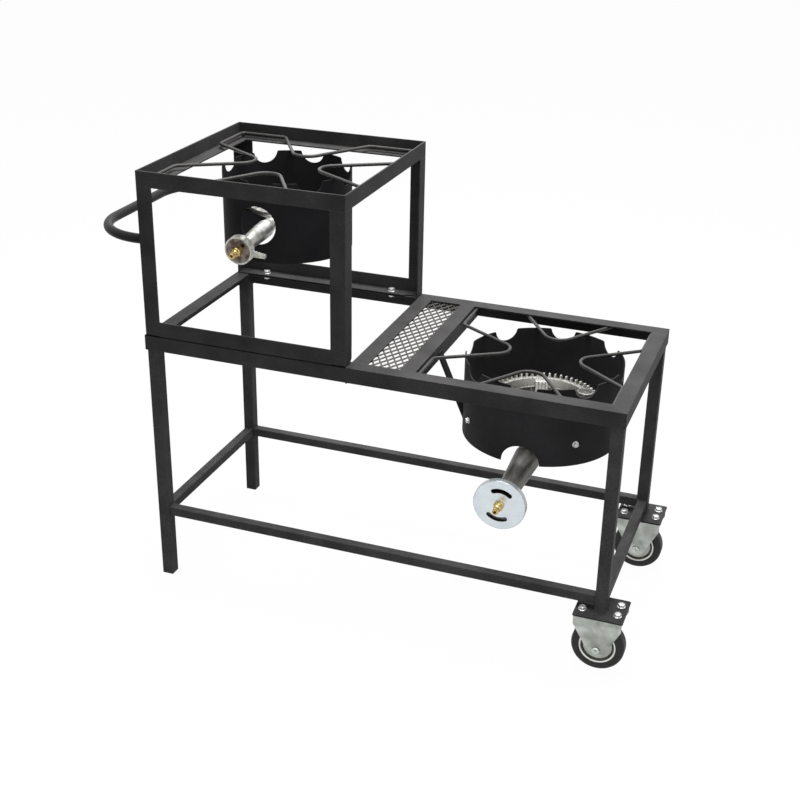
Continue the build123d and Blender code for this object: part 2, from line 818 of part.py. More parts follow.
# Brass nozzles: a hex body outside the shutter, the shank and jet through the mouth, a lock nut behind
def gas_nozzle(axis, across, along, reach, length):
    """Nozzle and its lock nut on an inlet axis, its hex just clear of the shutter's face."""
    seat = reach + shutter_gap
    tip = seat + length
    disc_back = reach - disc_inset - mouth_disc
    shank_end = disc_back - lock_nut
    neck_end = seat + nozzle_hex + nozzle_neck
    with BuildPart() as nozzle:
        with BuildSketch(along):
            with BuildLine():
                Polyline(
                    (0, shank_end - jet_length),
                    (jet_radius, shank_end - jet_length),
                    (jet_radius, shank_end),
                    (shank_radius, shank_end),
                    (shank_radius, seat),
                    (nozzle_neck_radius, seat),
                    (nozzle_neck_radius, neck_end),
                    (nozzle_tip_radius, tip - nozzle_tip),
                    (nozzle_tip_radius, tip),
                    (nozzle_bore, tip),
                    (nozzle_bore, tip - nozzle_bore_depth),
                    (0, tip - nozzle_bore_depth),
                    close=True,
                )
            make_face()
        revolve(axis=axis)
        with BuildSketch(across.offset(seat)):
            RegularPolygon(nozzle_flats / 2, 6, major_radius=False)
        extrude(amount=nozzle_hex)
        with BuildSketch(across.offset(shank_end)):
            RegularPolygon(nozzle_flats / 2, 6, major_radius=False)
            Circle(shank_hole, mode=Mode.SUBTRACT)
        extrude(amount=lock_nut)
    return nozzle


lower_nozzle = gas_nozzle(lower_axis, lower_across, lower_along, lower_tube_reach, lower_nozzle_length)
save(lower_nozzle, "lower_gas_nozzle")
upper_nozzle = gas_nozzle(upper_axis, upper_across, upper_along, upper_tube_reach, upper_nozzle_length)
save(upper_nozzle, "upper_gas_nozzle")

# Upper burner body: a shallow pan and its side inlet in one casting, swelled where it passes the shield
upper_disc_front = upper_tube_reach - disc_inset
upper_disc_back = upper_disc_front - mouth_disc
upper_bell = upper_cup_radius - cup_sheet - cup_gap
upper_bell_back = upper_tube_reach - upper_cup_depth
upper_bell_start = upper_bell_back - bell_run
upper_bore = upper_tube_radius - upper_tube_wall
pan_axis = Axis((box_mid, y_mid, 0), (0, 0, 1))
pan_section = Plane((box_mid, y_mid, 0), x_dir=(1, 0, 0), z_dir=(0, -1, 0))
with BuildPart() as upper_burner_body:
    with BuildSketch(pan_section):
        with BuildLine():
            Polyline(
                (0, pan_floor),
                (pan_floor_radius, pan_floor),
                (pan_radius, pan_rim_foot),
                (pan_radius, pan_seat),
                (0, pan_seat),
                close=True,
            )
        make_face()
    revolve(axis=pan_axis)
    with BuildSketch(upper_along):
        with BuildLine():
            Polyline(
                (0, -upper_tube_run),
                (upper_tube_radius, -upper_tube_run),
                (upper_tube_radius, -upper_swell_run - upper_swell_taper),
                (upper_swell_radius, -upper_swell_run),
                (upper_swell_radius, 0),
                (upper_tube_mouth, upper_bell_start),
                (upper_bell, upper_bell_back),
                (upper_bell, upper_disc_front),
                (0, upper_disc_front),
                close=True,
            )
        make_face()
    revolve(axis=upper_axis)
    with BuildSketch(pan_section):
        with BuildLine():
            Polyline(
                (0, pan_floor + pan_wall),
                (pan_floor_radius - pan_wall / 2, pan_floor + pan_wall),
                (pan_radius - pan_wall, pan_seat),
                (pan_radius - pan_wall, pan_seat + upper_tube_radius),
                (0, pan_seat + upper_tube_radius),
                close=True,
            )
        make_face()
    revolve(axis=pan_axis, mode=Mode.SUBTRACT)
    with BuildSketch(upper_along):
        with BuildLine():
            Polyline(
                (0, upper_tube_wall - upper_tube_run),
                (upper_bore, upper_tube_wall - upper_tube_run),
                (upper_bore, upper_bell_start),
                (upper_bell - bell_wall, upper_bell_back + bell_wall),
                (upper_bell - bell_wall, upper_disc_back),
                (0, upper_disc_back),
                close=True,
            )
        make_face()
    revolve(axis=upper_axis, mode=Mode.SUBTRACT)
    with BuildSketch(upper_across.offset(upper_disc_back)):
        Circle(shank_hole)
        with PolarLocations(upper_air_hole_radius, 2, start_angle=upper_air_hole_angle):
            Circle(upper_air_hole / 2)
    extrude(amount=mouth_disc, mode=Mode.SUBTRACT)
    with BuildSketch(Plane((box_mid, y_mid, pan_floor))):
        Circle(hole_m6)
    extrude(amount=pan_wall, mode=Mode.SUBTRACT)
save(upper_burner_body, "upper_burner_body")

# Perforated cap that lies on the pan's rim
cap_top = pan_seat + cap_rim + cap_dome
with BuildPart() as upper_burner_cap:
    with BuildSketch(pan_section):
        with BuildLine():
            Polyline(
                (pan_radius - cap_thick, pan_seat),
                (pan_radius, pan_seat),
                (pan_radius, pan_seat + cap_rim),
                (cap_flat_radius, cap_top),
                (0, cap_top),
                (0, cap_top - cap_thick),
                (cap_flat_radius - cap_thick / 2, cap_top - cap_thick),
                close=True,
            )
        make_face()
    revolve(axis=pan_axis)
    with BuildSketch(Plane((box_mid, y_mid, pan_seat))):
        for row_radius in cap_row_radii:
            with PolarLocations(row_radius, int(2 * pi * row_radius / cap_hole_pitch)):
                Circle(cap_hole / 2)
    extrude(amount=cap_rim + cap_dome, mode=Mode.SUBTRACT)
save(upper_burner_cap, "upper_burner_cap")

# Upper air shutter: a pressed cup with a shallower ear to turn it by
with BuildSketch(upper_across) as ear_plan:
    Circle(upper_cup_radius)
    with PolarLocations(0, 1, start_angle=upper_ear_turn):
        Polygon(
            (0, -upper_ear_root / 2),
            (upper_ear_reach, -upper_ear_tip / 2),
            (upper_ear_reach, upper_ear_tip / 2),
            (0, upper_ear_root / 2),
            align=None,
        )
    fillet(ear_plan.vertices().sort_by(Axis.X)[:2], upper_ear_fillet)

ear_back = upper_across.offset(upper_tube_reach - upper_ear_depth)
with BuildPart() as upper_air_shutter:
    with BuildSketch(upper_across.offset(upper_bell_back)):
        Circle(upper_cup_radius)
    extrude(amount=upper_cup_depth)
    with BuildSketch(ear_back):
        add(ear_plan.sketch_local)
    extrude(amount=upper_ear_depth)
    with BuildSketch(upper_across.offset(upper_bell_back)):
        Circle(upper_cup_radius - cup_sheet)
    extrude(amount=upper_cup_depth - cup_sheet, mode=Mode.SUBTRACT)
    with BuildSketch(ear_back):
        add(ear_plan.sketch_local)
        offset(amount=-cup_sheet, mode=Mode.REPLACE)
    extrude(amount=upper_ear_depth - cup_sheet, mode=Mode.SUBTRACT)
    with BuildSketch(upper_across.offset(upper_tube_reach - cup_sheet)):
        Circle(shank_radius + running_gap)
        with PolarLocations(upper_air_hole_radius, 2, start_angle=upper_air_hole_angle):
            Circle(upper_air_hole / 2)
    extrude(amount=cup_sheet, mode=Mode.SUBTRACT)
save(upper_air_shutter, "upper_air_shutter")

# Rigid casters: a welded plate, a pressed fork, a riveted axle, a steel wheel and its tyre
fork_top = caster_plate_top - caster_plate_thick
fork_shoulder_level = fork_top - fork_shoulder
fork_low = wheel_radius - fork_end_radius
fork_lean = (fork_half_top - fork_half_bottom) / (fork_shoulder_level - fork_low)
axle_seat = fork_half_bottom + fork_lean * (wheel_radius + axle_head_radius - fork_low) + hole_gap
caster_x = leg_right + caster_shift_out
fork_right = [
    (fork_half_top, fork_top),
    (fork_half_top, fork_shoulder_level),
    (fork_half_bottom, fork_low),
    (fork_half_bottom - fork_sheet, fork_low),
    (fork_half_top - fork_sheet, fork_shoulder_level),
    (fork_half_top - fork_sheet, fork_top - fork_sheet),
]
fork_left = [(-across, level) for across, level in reversed(fork_right)]
rim_half = tyre_width / 2 - rim_inset
rim_inner = rim_radius - rim_lip
groove_half = rim_half - groove_depth
wheel_right = [
    (rim_radius, rim_half),
    (rim_inner, rim_half),
    (rim_inner, groove_half),
    (rim_inner - groove_width, groove_half),
    (rim_inner - groove_width, disc_half),
    (hub_radius, disc_half),
    (hub_radius, hub_half),
    (axle_radius + running_gap, hub_half),
]
wheel_left = [(radius, -across) for radius, across in reversed(wheel_right)]
for name, leg_y, inward in (("front", leg_front, 1), ("back", leg_back, -1)):
    caster_y = leg_y + inward * caster_shift_in
    axle_line = Axis((caster_x, caster_y, wheel_radius), (0, 1, 0))
    wheel_section = Plane((caster_x, caster_y, wheel_radius), x_dir=(0, 0, 1), z_dir=(-1, 0, 0))
    with BuildPart() as plate:
        with BuildSketch(Plane((caster_x, caster_y, fork_top))) as plate_plan:
            Rectangle(caster_plate_length, caster_plate_width)
            chamfer(plate_plan.vertices(), caster_plate_corner)
            with GridLocations(caster_bolt_x, caster_bolt_y, 2, 2):
                Circle(bolt_m8["thread"] + hole_gap, mode=Mode.SUBTRACT)
        extrude(amount=caster_plate_thick)
    save(plate, f"caster_plate_{name}")

    with BuildPart() as fork:
        with BuildSketch(Plane((caster_x, caster_y, 0), x_dir=(0, 1, 0), z_dir=(1, 0, 0))):
            with BuildLine():
                Polyline(*fork_right, *fork_left, close=True)
            make_face()
        extrude(amount=fork_length / 2, both=True)
        with BuildSketch(Plane((caster_x, caster_y, 0), x_dir=(1, 0, 0), z_dir=(0, -1, 0))):
            with Locations((0, fork_top - fork_shoulder / 2)):
                Rectangle(fork_length, fork_shoulder)
            with Locations((0, wheel_radius)):
                Circle(fork_end_radius)
            make_hull()
        extrude(amount=fork_half_top, both=True, mode=Mode.INTERSECT)
        with BuildSketch(Plane((caster_x, caster_y, fork_top))):
            with GridLocations(caster_bolt_x, caster_bolt_y, 2, 2):
                Circle(bolt_m8["thread"] + hole_gap)
        extrude(amount=-fork_sheet, mode=Mode.SUBTRACT)
        with BuildSketch(Plane((caster_x, caster_y, wheel_radius), x_dir=(1, 0, 0), z_dir=(0, -1, 0))):
            Circle(axle_radius + hole_gap / 2)
        extrude(amount=fork_half_top, both=True, mode=Mode.SUBTRACT)
    save(fork, f"caster_fork_{name}")

    with BuildPart() as axle:
        with BuildSketch(Plane((caster_x, caster_y, wheel_radius), x_dir=(1, 0, 0), z_dir=(0, -1, 0))):
            Circle(axle_radius)
        extrude(amount=axle_seat, both=True)
        for way in (1, -1):
            seat = (caster_x, caster_y + way * axle_seat, wheel_radius)
            with BuildSketch(Plane(seat, x_dir=(1, 0, 0), z_dir=(0, way, 0))):
                Circle(axle_head_radius)
            extrude(amount=axle_head)
        fillet(axle.faces().sort_by(Axis.Y)[0].edges(), axle_head_round)
        fillet(axle.faces().sort_by(Axis.Y)[-1].edges(), axle_head_round)
    save(axle, f"caster_axle_{name}")

    with BuildPart() as wheel:
        with BuildSketch(wheel_section):
            with BuildLine():
                Polyline(*wheel_right, *wheel_left, close=True)
            make_face()
        revolve(axis=axle_line)
    save(wheel, f"caster_wheel_{name}")

    with BuildPart() as tyre:
        tyre_bore = rim_radius + tyre_gap
        with BuildSketch(wheel_section) as tyre_section:
            with Locations(((tyre_bore + wheel_radius) / 2, 0)):
                Rectangle(wheel_radius - tyre_bore, tyre_width)
            fillet(tyre_section.vertices().group_by(Axis.X)[-1], tyre_shoulder)
        revolve(axis=axle_line)
    save(tyre, f"caster_tyre_{name}")


# Fasteners, each kind in one group
def flange_bolts(seats, size):
    """Bolts with their nuts, from the plane under each head, its normal out of the head, and the grip."""
    with BuildPart() as bolts:
        for plane, grip in seats:
            with BuildSketch(plane):
                Circle(size["flange"])
            extrude(amount=size["washer"])
            with BuildSketch(plane.offset(size["washer"])):
                RegularPolygon(size["flats"] / 2, 6, major_radius=False)
            extrude(amount=size["head"])
            with BuildSketch(plane):
                Circle(size["thread"])
            extrude(amount=-(grip + size["nut"] + bolt_tail))
            with BuildSketch(plane.offset(-grip)):
                RegularPolygon(size["flats"] / 2, 6, major_radius=False)
                Circle(size["thread"] + hole_gap / 2, mode=Mode.SUBTRACT)
            extrude(amount=-size["nut"])
    return bolts


box_seats = [
    (Plane((x, y, frame_height + angle_wall)), 2 * angle_wall)
    for places in box_bolts_at.values()
    for x, y in places
]
save(flange_bolts(box_seats, bolt_m8), "box_bolts")

caster_seats = [
    (Plane((caster_x + x, caster_y + y, caster_plate_top)), caster_plate_thick + fork_sheet)
    for caster_y in (leg_front + caster_shift_in, leg_back - caster_shift_in)
    for x in (-caster_bolt_x / 2, caster_bolt_x / 2)
    for y in (-caster_bolt_y / 2, caster_bolt_y / 2)
]
save(flange_bolts(caster_seats, bolt_m8), "caster_bolts")

pan_seat_below = Plane((box_mid, y_mid, pan_floor - strap_thick), z_dir=(0, 0, -1))
burner_seats = [(pan_seat_below, strap_thick + pan_wall)]
shield_grip = lower_shield_radius - tab_face(lower_shield_radius) + strap_thick
for angle in strap_angles:
    outward = outward_from(angle)
    seat_x = bay_mid + lower_shield_radius * outward[0]
    seat_y = y_mid + lower_shield_radius * outward[1]
    burner_seats.append((Plane((seat_x, seat_y, lower_bolt_level), z_dir=outward), shield_grip))
save(flange_bolts(burner_seats, bolt_m6), "burner_bolts")
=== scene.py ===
from math import atan2, cos, pi, radians, sin

import bpy
from mathutils import Matrix, Vector


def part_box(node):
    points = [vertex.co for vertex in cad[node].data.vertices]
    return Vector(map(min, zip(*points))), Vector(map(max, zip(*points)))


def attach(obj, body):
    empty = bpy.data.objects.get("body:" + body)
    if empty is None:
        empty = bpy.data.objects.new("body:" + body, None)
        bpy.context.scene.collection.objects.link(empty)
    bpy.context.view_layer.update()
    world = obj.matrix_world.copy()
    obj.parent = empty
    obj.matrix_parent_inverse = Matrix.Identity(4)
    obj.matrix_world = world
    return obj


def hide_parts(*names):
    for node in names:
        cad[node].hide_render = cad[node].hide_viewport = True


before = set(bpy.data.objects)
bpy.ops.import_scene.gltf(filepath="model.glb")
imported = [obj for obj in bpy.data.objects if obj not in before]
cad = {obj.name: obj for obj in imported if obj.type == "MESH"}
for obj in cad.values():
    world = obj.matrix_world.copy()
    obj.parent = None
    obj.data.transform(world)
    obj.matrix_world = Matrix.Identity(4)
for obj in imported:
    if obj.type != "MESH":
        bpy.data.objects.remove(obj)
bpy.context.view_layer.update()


# Studio: a white floor and a white room, lit by large soft lamps overhead, behind and at the front.
# The floor is a matt sheet that keeps the stove's own soft shadow.
def linear(code):
    """Linear colour of an sRGB hex value such as "#c9a13f"."""
    parts = [int(code[place:place + 2], 16) / 255 for place in (1, 3, 5)]
    return [part / 12.92 if part <= 0.04045 else ((part + 0.055) / 1.055) ** 2.4 for part in parts] + [1]


def add_node(tree, kind, settings, links=()):
    """Add a shader node, set its fields and sockets and link its inputs."""
    node = tree.nodes.new(kind)
    for name, value in settings.items():
        if isinstance(name, int) or name in node.inputs:
            node.inputs[name].default_value = value
        else:
            setattr(node, name, value)
    for name, source in dict(links).items():
        tree.links.new(source, node.inputs[name])
    return node


def seen_directly(tree):
    """1 for rays from the camera, a mirror or glass, which show the white room, and 0 for the rest."""
    path = add_node(tree, "ShaderNodeLightPath", {})
    mirror = add_node(tree, "ShaderNodeMath", {"operation": "MAXIMUM"},
                      {0: path.outputs["Is Glossy Ray"], 1: path.outputs["Is Transmission Ray"]})
    return add_node(tree, "ShaderNodeMath", {"operation": "MAXIMUM"},
                    {0: path.outputs["Is Camera Ray"], 1: mirror.outputs[0]}).outputs[0]


floor_width = 40
floor_glow = 0.975
floor_shade = 0.02
floor_bounce = 0.22
bpy.ops.object.select_all(action="DESELECT")
bpy.ops.mesh.primitive_plane_add(size=floor_width)
floor = bpy.context.object
floor.name = "studio_floor"
white_sheet = bpy.data.materials.new("matt_white_sheet")
white_sheet.use_nodes = True
tree = white_sheet.node_tree
tree.nodes.clear()
shade = add_node(tree, "ShaderNodeBsdfDiffuse", {"Color": [floor_shade, floor_shade, floor_shade, 1]})
glow = add_node(tree, "ShaderNodeEmission", {"Color": [1, 1, 1, 1], "Strength": floor_glow})
lit = add_node(tree, "ShaderNodeAddShader", {}, {0: shade.outputs[0], 1: glow.outputs[0]})
bounce = add_node(tree, "ShaderNodeBsdfDiffuse", {"Color": [floor_bounce, floor_bounce, floor_bounce, 1]})
either = add_node(tree, "ShaderNodeMixShader", {},
                  {0: seen_directly(tree), 1: bounce.outputs[0], 2: lit.outputs[0]})
add_node(tree, "ShaderNodeOutputMaterial", {}, {"Surface": either.outputs[0]})
floor.data.materials.append(white_sheet)

room_light = 0.26
room = bpy.data.worlds.new("white_room")
bpy.context.scene.world = room
room.use_nodes = True
tree = room.node_tree
tree.nodes.clear()
ambient = add_node(tree, "ShaderNodeBackground", {"Color": [1, 1, 1, 1], "Strength": room_light})
backdrop = add_node(tree, "ShaderNodeBackground", {"Color": [1, 1, 1, 1], "Strength": 1})
either = add_node(tree, "ShaderNodeMixShader", {},
                  {0: seen_directly(tree), 1: ambient.outputs[0], 2: backdrop.outputs[0]})
add_node(tree, "ShaderNodeOutputWorld", {}, {"Surface": either.outputs[0]})

for name, place, aim, size, watts in (
    ("overhead_lamp", (0.1, 0.4, 3.3), (0, 0.1, 0.5), 2.2, 195),
    ("back_lamp", (-0.9, 3.2, 2.2), (0, 0, 0.6), 3.0, 15),
    ("front_lamp", (0.5, -2.1, 0.1), (0.1, 0, 0.1), 1.2, 15),
):
    lamp_data = bpy.data.lights.new(name, "AREA")
    lamp_data.size = size
    lamp_data.energy = watts
    lamp = bpy.data.objects.new(name, lamp_data)
    bpy.context.scene.collection.objects.link(lamp)
    lamp.location = place
    lamp.rotation_euler = (Vector(place) - Vector(aim)).to_track_quat("Z", "Y").to_euler()

bpy.context.scene.view_settings.view_transform = "Standard"

# Camera at the photograph's place: in front, to the right and above, with a little roll.
# Its focal length is in pixels of the 800 pixel wide picture.
picture_width = 800
focal_pixels = 1320.95
camera_turn = radians(19.83)
camera_rise = radians(24.91)
camera_roll = radians(1.0)
camera_away = 2.82435
camera_aim = Vector((0.02862, 0.0382, 0.41192))
camera_data = bpy.data.cameras.new("photo_camera")
camera = bpy.data.objects.new("photo_camera", camera_data)
bpy.context.scene.collection.objects.link(camera)
bpy.context.scene.camera = camera
camera_data.sensor_width = 36
camera_data.lens = focal_pixels * camera_data.sensor_width / picture_width
towards = Vector((sin(camera_turn) * cos(camera_rise), -cos(camera_turn) * cos(camera_rise), sin(camera_rise)))
level = Vector((cos(camera_turn), sin(camera_turn), 0))
upright = towards.cross(level)
right = cos(camera_roll) * level + sin(camera_roll) * upright
up = cos(camera_roll) * upright - sin(camera_roll) * level
turned_view = Matrix((right, up, towards)).transposed().to_4x4()
camera.matrix_world = Matrix.Translation(camera_aim + camera_away * towards) @ turned_view


# Welded frame: mitred angle iron rails, square tube legs and stretchers, and the box's rails and posts.
# Mild steel, welded and then powder coated satin black in one go. The coat gives a fine orange peel, a pale grain
# where light skims along it and edges rubbed a little greyer; the legs and stretchers get a lighter copy, painted
# light.
def new_material(name):
    """A material, its node tree and its Principled shader."""
    material = bpy.data.materials.new(name)
    material.use_nodes = True
    return material, material.node_tree, material.node_tree.nodes["Principled BSDF"]


def coat_nodes(material, *starts):
    """Give a material to every CAD node whose name begins with one of the words."""
    for name, node in cad.items():
        if name.startswith(starts):
            node.data.materials.clear()
            node.data.materials.append(material)


def per_mm(size):
    """Noise scale, in Object coordinates in metres, that gives a pattern of that size in millimetres."""
    return 1000 / size


def powder_coat(name, dark, light, worn, gloss_low, gloss_high, reflect, peel_size, peel_depth):
    """Painted or moulded black: uneven gloss in soft patches, a fine grain and edges worn paler."""
    patch_size = 70
    worn_width = 1.2
    material, tree, shader = new_material(name)
    place = add_node(tree, "ShaderNodeTexCoord", {}).outputs["Object"]
    patches = add_node(tree, "ShaderNodeTexNoise", {"Scale": per_mm(patch_size), "Detail": 3}, {"Vector": place})
    peel = add_node(tree, "ShaderNodeTexNoise", {"Scale": per_mm(peel_size), "Detail": 2}, {"Vector": place})
    mixed = add_node(tree, "ShaderNodeMath", {"operation": "MULTIPLY"},
                     {0: patches.outputs["Fac"], 1: peel.outputs["Fac"]})
    spread = add_node(tree, "ShaderNodeMapRange", {"From Min": 0.12, "From Max": 0.4}, {"Value": mixed.outputs[0]})
    tone = add_node(tree, "ShaderNodeMix", {"data_type": "RGBA", 6: linear(dark), 7: linear(light)},
                    {0: spread.outputs[0]})
    rounded = add_node(tree, "ShaderNodeBevel", {"samples": 4, "Radius": worn_width / 1000})
    flat = add_node(tree, "ShaderNodeNewGeometry", {})
    agree = add_node(tree, "ShaderNodeVectorMath", {"operation": "DOT_PRODUCT"},
                     {0: rounded.outputs[0], 1: flat.outputs["Normal"]})
    edge = add_node(tree, "ShaderNodeMapRange", {"From Min": 0.995, "From Max": 0.85, "To Max": 0.7},
                    {"Value": agree.outputs["Value"]})
    rubbed = add_node(tree, "ShaderNodeMix", {"data_type": "RGBA", 7: linear(worn)},
                      {0: edge.outputs[0], 6: tone.outputs[2]})
    gloss = add_node(tree, "ShaderNodeMapRange", {"To Min": gloss_low, "To Max": gloss_high},
                     {"Value": patches.outputs["Fac"]})
    ripple = add_node(tree, "ShaderNodeBump", {"Strength": 0.35, "Distance": peel_depth / 1000},
                      {"Height": peel.outputs["Fac"], "Normal": rounded.outputs[0]})
    shader.inputs["Specular IOR Level"].default_value = reflect
    tree.links.new(rubbed.outputs[2], shader.inputs["Base Color"])
    tree.links.new(gloss.outputs[0], shader.inputs["Roughness"])
    tree.links.new(ripple.outputs[0], shader.inputs["Normal"])
    return material


satin_black = powder_coat("satin_black_powder_coat", "#353434", "#494848", "#686666", 0.4, 0.54, 0.02, 2.2, 0.12)
coat_nodes(satin_black, "frame_rail", "box_bottom_rail", "box_top_rail", "box_post", "crossbar_", "caster_plate")
# Lighter copy of the coat for the legs and stretchers: painted light for the extra light they catch low down.
painted_lighter_tube_black = powder_coat("satin_black_painted_lighter_tube_coat", "#3d3c3c", "#555454", "#767474", 0.4, 0.54, 0.02, 2.2, 0.12)
coat_nodes(painted_lighter_tube_black, "leg_", "stretcher_")

# Feet: black plastic caps pushed into the two left legs.
# Moulded polythene, dull with a fine grain from the mould.
moulded_black = powder_coat("moulded_black_polythene", "#171717", "#1e1e1e", "#2a2a2a", 0.55, 0.7, 0.4, 1.2, 0.05)
coat_nodes(moulded_black, "foot_caps")

# Trivets: round rod bent to a closed line with four loops and welded at its ends.
# Mild steel rod under a thin satin grey paint.
trivet_paint = powder_coat("satin_grey_rod_paint", "#363534", "#484746", "#484746", 0.3, 0.42, 0.15, 1.8, 0.08)
coat_nodes(trivet_paint, "upper_trivet", "lower_trivet")

# Wind shields and their flat bars: rolled sheet steel cylinders with scalloped top edges.
# Heat proof paint, matt and nearly black, dry to the eye; the lower shield's is a lighter grey copy, painted light.
stove_black = powder_coat("matt_stove_paint", "#201f21", "#2a292b", "#3a393a", 0.5, 0.66, 0.03, 1.4, 0.1)
coat_nodes(stove_black, "upper_wind_shield", "lower_support", "upper_support", "lower_hanger")
# Lighter copy of the shield paint for the lower shield: painted light, against the upper shield in the box's shade.
painted_lighter_stove_black = powder_coat("painted_light_stove_paint", "#2e2d2f", "#3b3a3c", "#504f50", 0.5, 0.66, 0.03, 1.4, 0.1)
coat_nodes(painted_lighter_stove_black, "lower_wind_shield")

# Welds of the legs and stretchers: short fillet beads laid by hand where tube meets tube or rail.
# Steel in lapped ripples about 3 mm long, coated black with the frame.
mm = 0.001
bead_ripples = 8
bead_pitch = 3 * mm
bead_radius = 2.2 * mm
bead_waist = 0.72
bead_start = 0.4
bead_sides = 8
bpy.ops.object.select_all(action="DESELECT")
bpy.ops.mesh.primitive_circle_add(vertices=bead_sides, radius=bead_radius * bead_start, fill_type="NGON")
bead = bpy.context.object
bpy.ops.object.mode_set(mode="EDIT")
bpy.ops.mesh.select_all(action="SELECT")
girth = bead_start
for ripple in range(bead_ripples):
    for swell in (1, bead_waist):
        bpy.ops.mesh.extrude_region_move(TRANSFORM_OT_translate={"value": (0, 0, bead_pitch / 2)})
        bpy.ops.transform.resize(value=(swell / girth, swell / girth, 1))
        girth = swell
bpy.ops.mesh.select_all(action="SELECT")
bpy.ops.mesh.normals_make_consistent(inside=False)
bpy.ops.object.mode_set(mode="OBJECT")
bpy.ops.object.shade_smooth()
bead_length = bead_ripples * bead_pitch


def set_out(name, pattern, places, material, body="frame"):
    """Copies of a pattern piece, each with its own mesh, moved to their places and joined on a body."""
    bpy.ops.object.select_all(action="DESELECT")
    for place in places:
        copy = pattern.copy()
        copy.data = pattern.data.copy()
        copy.data.transform(place)
        bpy.context.scene.collection.objects.link(copy)
        copy.select_set(True)
        bpy.context.view_layer.objects.active = copy
    bpy.ops.object.join()
    piece = bpy.context.object
    piece.name = name
    piece.data.name = name
    piece.data.materials.clear()
    piece.data.materials.append(material)
    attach(piece, body)
    return piece


def facing(place, outward):
    """Matrix that stands a piece modelled along +Z at a place, its top towards the outward direction."""
    return Matrix.Translation(place) @ Vector(outward).to_track_quat("Z", "Y").to_matrix().to_4x4()


def along_seam(start, end):
    """Matrix that lays the weld bead from start to end."""
    run = Vector(end) - Vector(start)
    return facing(Vector(start), run) @ Matrix.Diagonal((1, 1, run.length / bead_length, 1))


tack_length = 7
frame_seams = []
rail_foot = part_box("frame_rail_front")[0][2]
for side in ("front_left", "front_right", "back_left", "back_right"):
    low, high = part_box(f"leg_{side}")
    outer_x = low[0] if side.endswith("left") else high[0]
    outer_y = low[1] if side.startswith("front") else high[1]
    frame_seams.append(((outer_x, low[1], rail_foot), (outer_x, high[1], rail_foot)))
    frame_seams.append(((low[0], outer_y, rail_foot), (high[0], outer_y, rail_foot)))
for side in ("front", "back", "left", "right"):
    low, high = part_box(f"stretcher_{side}")
    for end in (low, high):
        if side in ("front", "back"):
            frame_seams.append(((end[0], low[1], high[2]), (end[0], high[1], high[2])))
            frame_seams += [((end[0], edge[1], low[2]), (end[0], edge[1], high[2])) for edge in (low, high)]
        else:
            frame_seams.append(((low[0], end[1], high[2]), (high[0], end[1], high[2])))
            frame_seams += [((edge[0], end[1], low[2]), (edge[0], end[1], high[2])) for edge in (low, high)]
low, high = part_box("crossbar_left")
for end in (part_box("frame_rail_front")[0].y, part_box("frame_rail_back")[1].y - tack_length * mm):
    frame_seams.append(((low.x, end, rail_foot), (low.x, end + tack_length * mm, rail_foot)))
set_out("frame_welds", bead, [along_seam(*seam) for seam in frame_seams], satin_black)


# Casters: plates welded under the right legs, with rigid pressed steel forks bolted up under them.
# The forks are zinc plated sheet, cloudy grey; the tyres are solid rubber, dull and black.
def bare_metal(name, dark, light, rough_low, rough_high, patch_size, grain_size, grain_depth, metallic=1,
               stretch=(1, 1, 1)):
    """Bare metal: tone and roughness drift in patches, which may be drawn out one way, over a fine grain."""
    material, tree, shader = new_material(name)
    place = add_node(tree, "ShaderNodeTexCoord", {}).outputs["Object"]
    drawn = add_node(tree, "ShaderNodeMapping", {"Scale": stretch}, {"Vector": place})
    patches = add_node(tree, "ShaderNodeTexNoise", {"Scale": per_mm(patch_size), "Detail": 4},
                       {"Vector": drawn.outputs[0]})
    spread = add_node(tree, "ShaderNodeMapRange", {"From Min": 0.3, "From Max": 0.7}, {"Value": patches.outputs["Fac"]})
    tone = add_node(tree, "ShaderNodeMix", {"data_type": "RGBA", 6: linear(dark), 7: linear(light)},
                    {0: spread.outputs[0]})
    dull = add_node(tree, "ShaderNodeMapRange", {"To Min": rough_low, "To Max": rough_high},
                    {"Value": patches.outputs["Fac"]})
    grain = add_node(tree, "ShaderNodeTexNoise", {"Scale": per_mm(grain_size), "Detail": 3},
                     {"Vector": drawn.outputs[0]})
    relief = add_node(tree, "ShaderNodeBump", {"Strength": 0.4, "Distance": grain_depth / 1000},
                      {"Height": grain.outputs["Fac"]})
    shader.inputs["Metallic"].default_value = metallic
    tree.links.new(tone.outputs[2], shader.inputs["Base Color"])
    tree.links.new(dull.outputs[0], shader.inputs["Roughness"])
    tree.links.new(relief.outputs[0], shader.inputs["Normal"])
    return material


fork_zinc = bare_metal("zinc_plated_steel", "#868a84", "#c6cac5", 0.34, 0.46, 30, 26, 2.5, 0.75)
coat_nodes(fork_zinc, "caster_fork")
tyre_rubber = powder_coat("black_tyre_rubber", "#141414", "#1e1e1e", "#262626", 0.5, 0.65, 0.35, 1.6, 0.1)
coat_nodes(tyre_rubber, "caster_tyre")

plate_seams = []
for side in ("front_right", "back_right"):
    low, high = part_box(f"leg_{side}")
    for edge in (low, high):
        plate_seams.append(((low[0], edge[1], low[2]), (high[0], edge[1], low[2])))
        plate_seams.append(((edge[0], low[1], low[2]), (edge[0], high[1], low[2])))
set_out("caster_plate_welds", bead, [along_seam(*seam) for seam in plate_seams], satin_black)


# Caster wheels: pressed steel discs with a rim and a deep groove round the middle disc.
# Zinc plated, the rim bright; the middle disc is painted darker grey as painted shade behind the fork, and the groove
# nearly black, partly old grease and partly painted shade.
def from_middle(tree, middle, squash):
    """Distance of a point from a middle in metres, with each axis counted as much as squash says."""
    place = add_node(tree, "ShaderNodeTexCoord", {}).outputs["Object"]
    offset = add_node(tree, "ShaderNodeVectorMath", {"operation": "SUBTRACT", 1: middle}, {0: place})
    squashed = add_node(tree, "ShaderNodeVectorMath", {"operation": "MULTIPLY", 1: squash}, {0: offset.outputs[0]})
    return add_node(tree, "ShaderNodeVectorMath", {"operation": "LENGTH"}, {0: squashed.outputs[0]}).outputs["Value"]


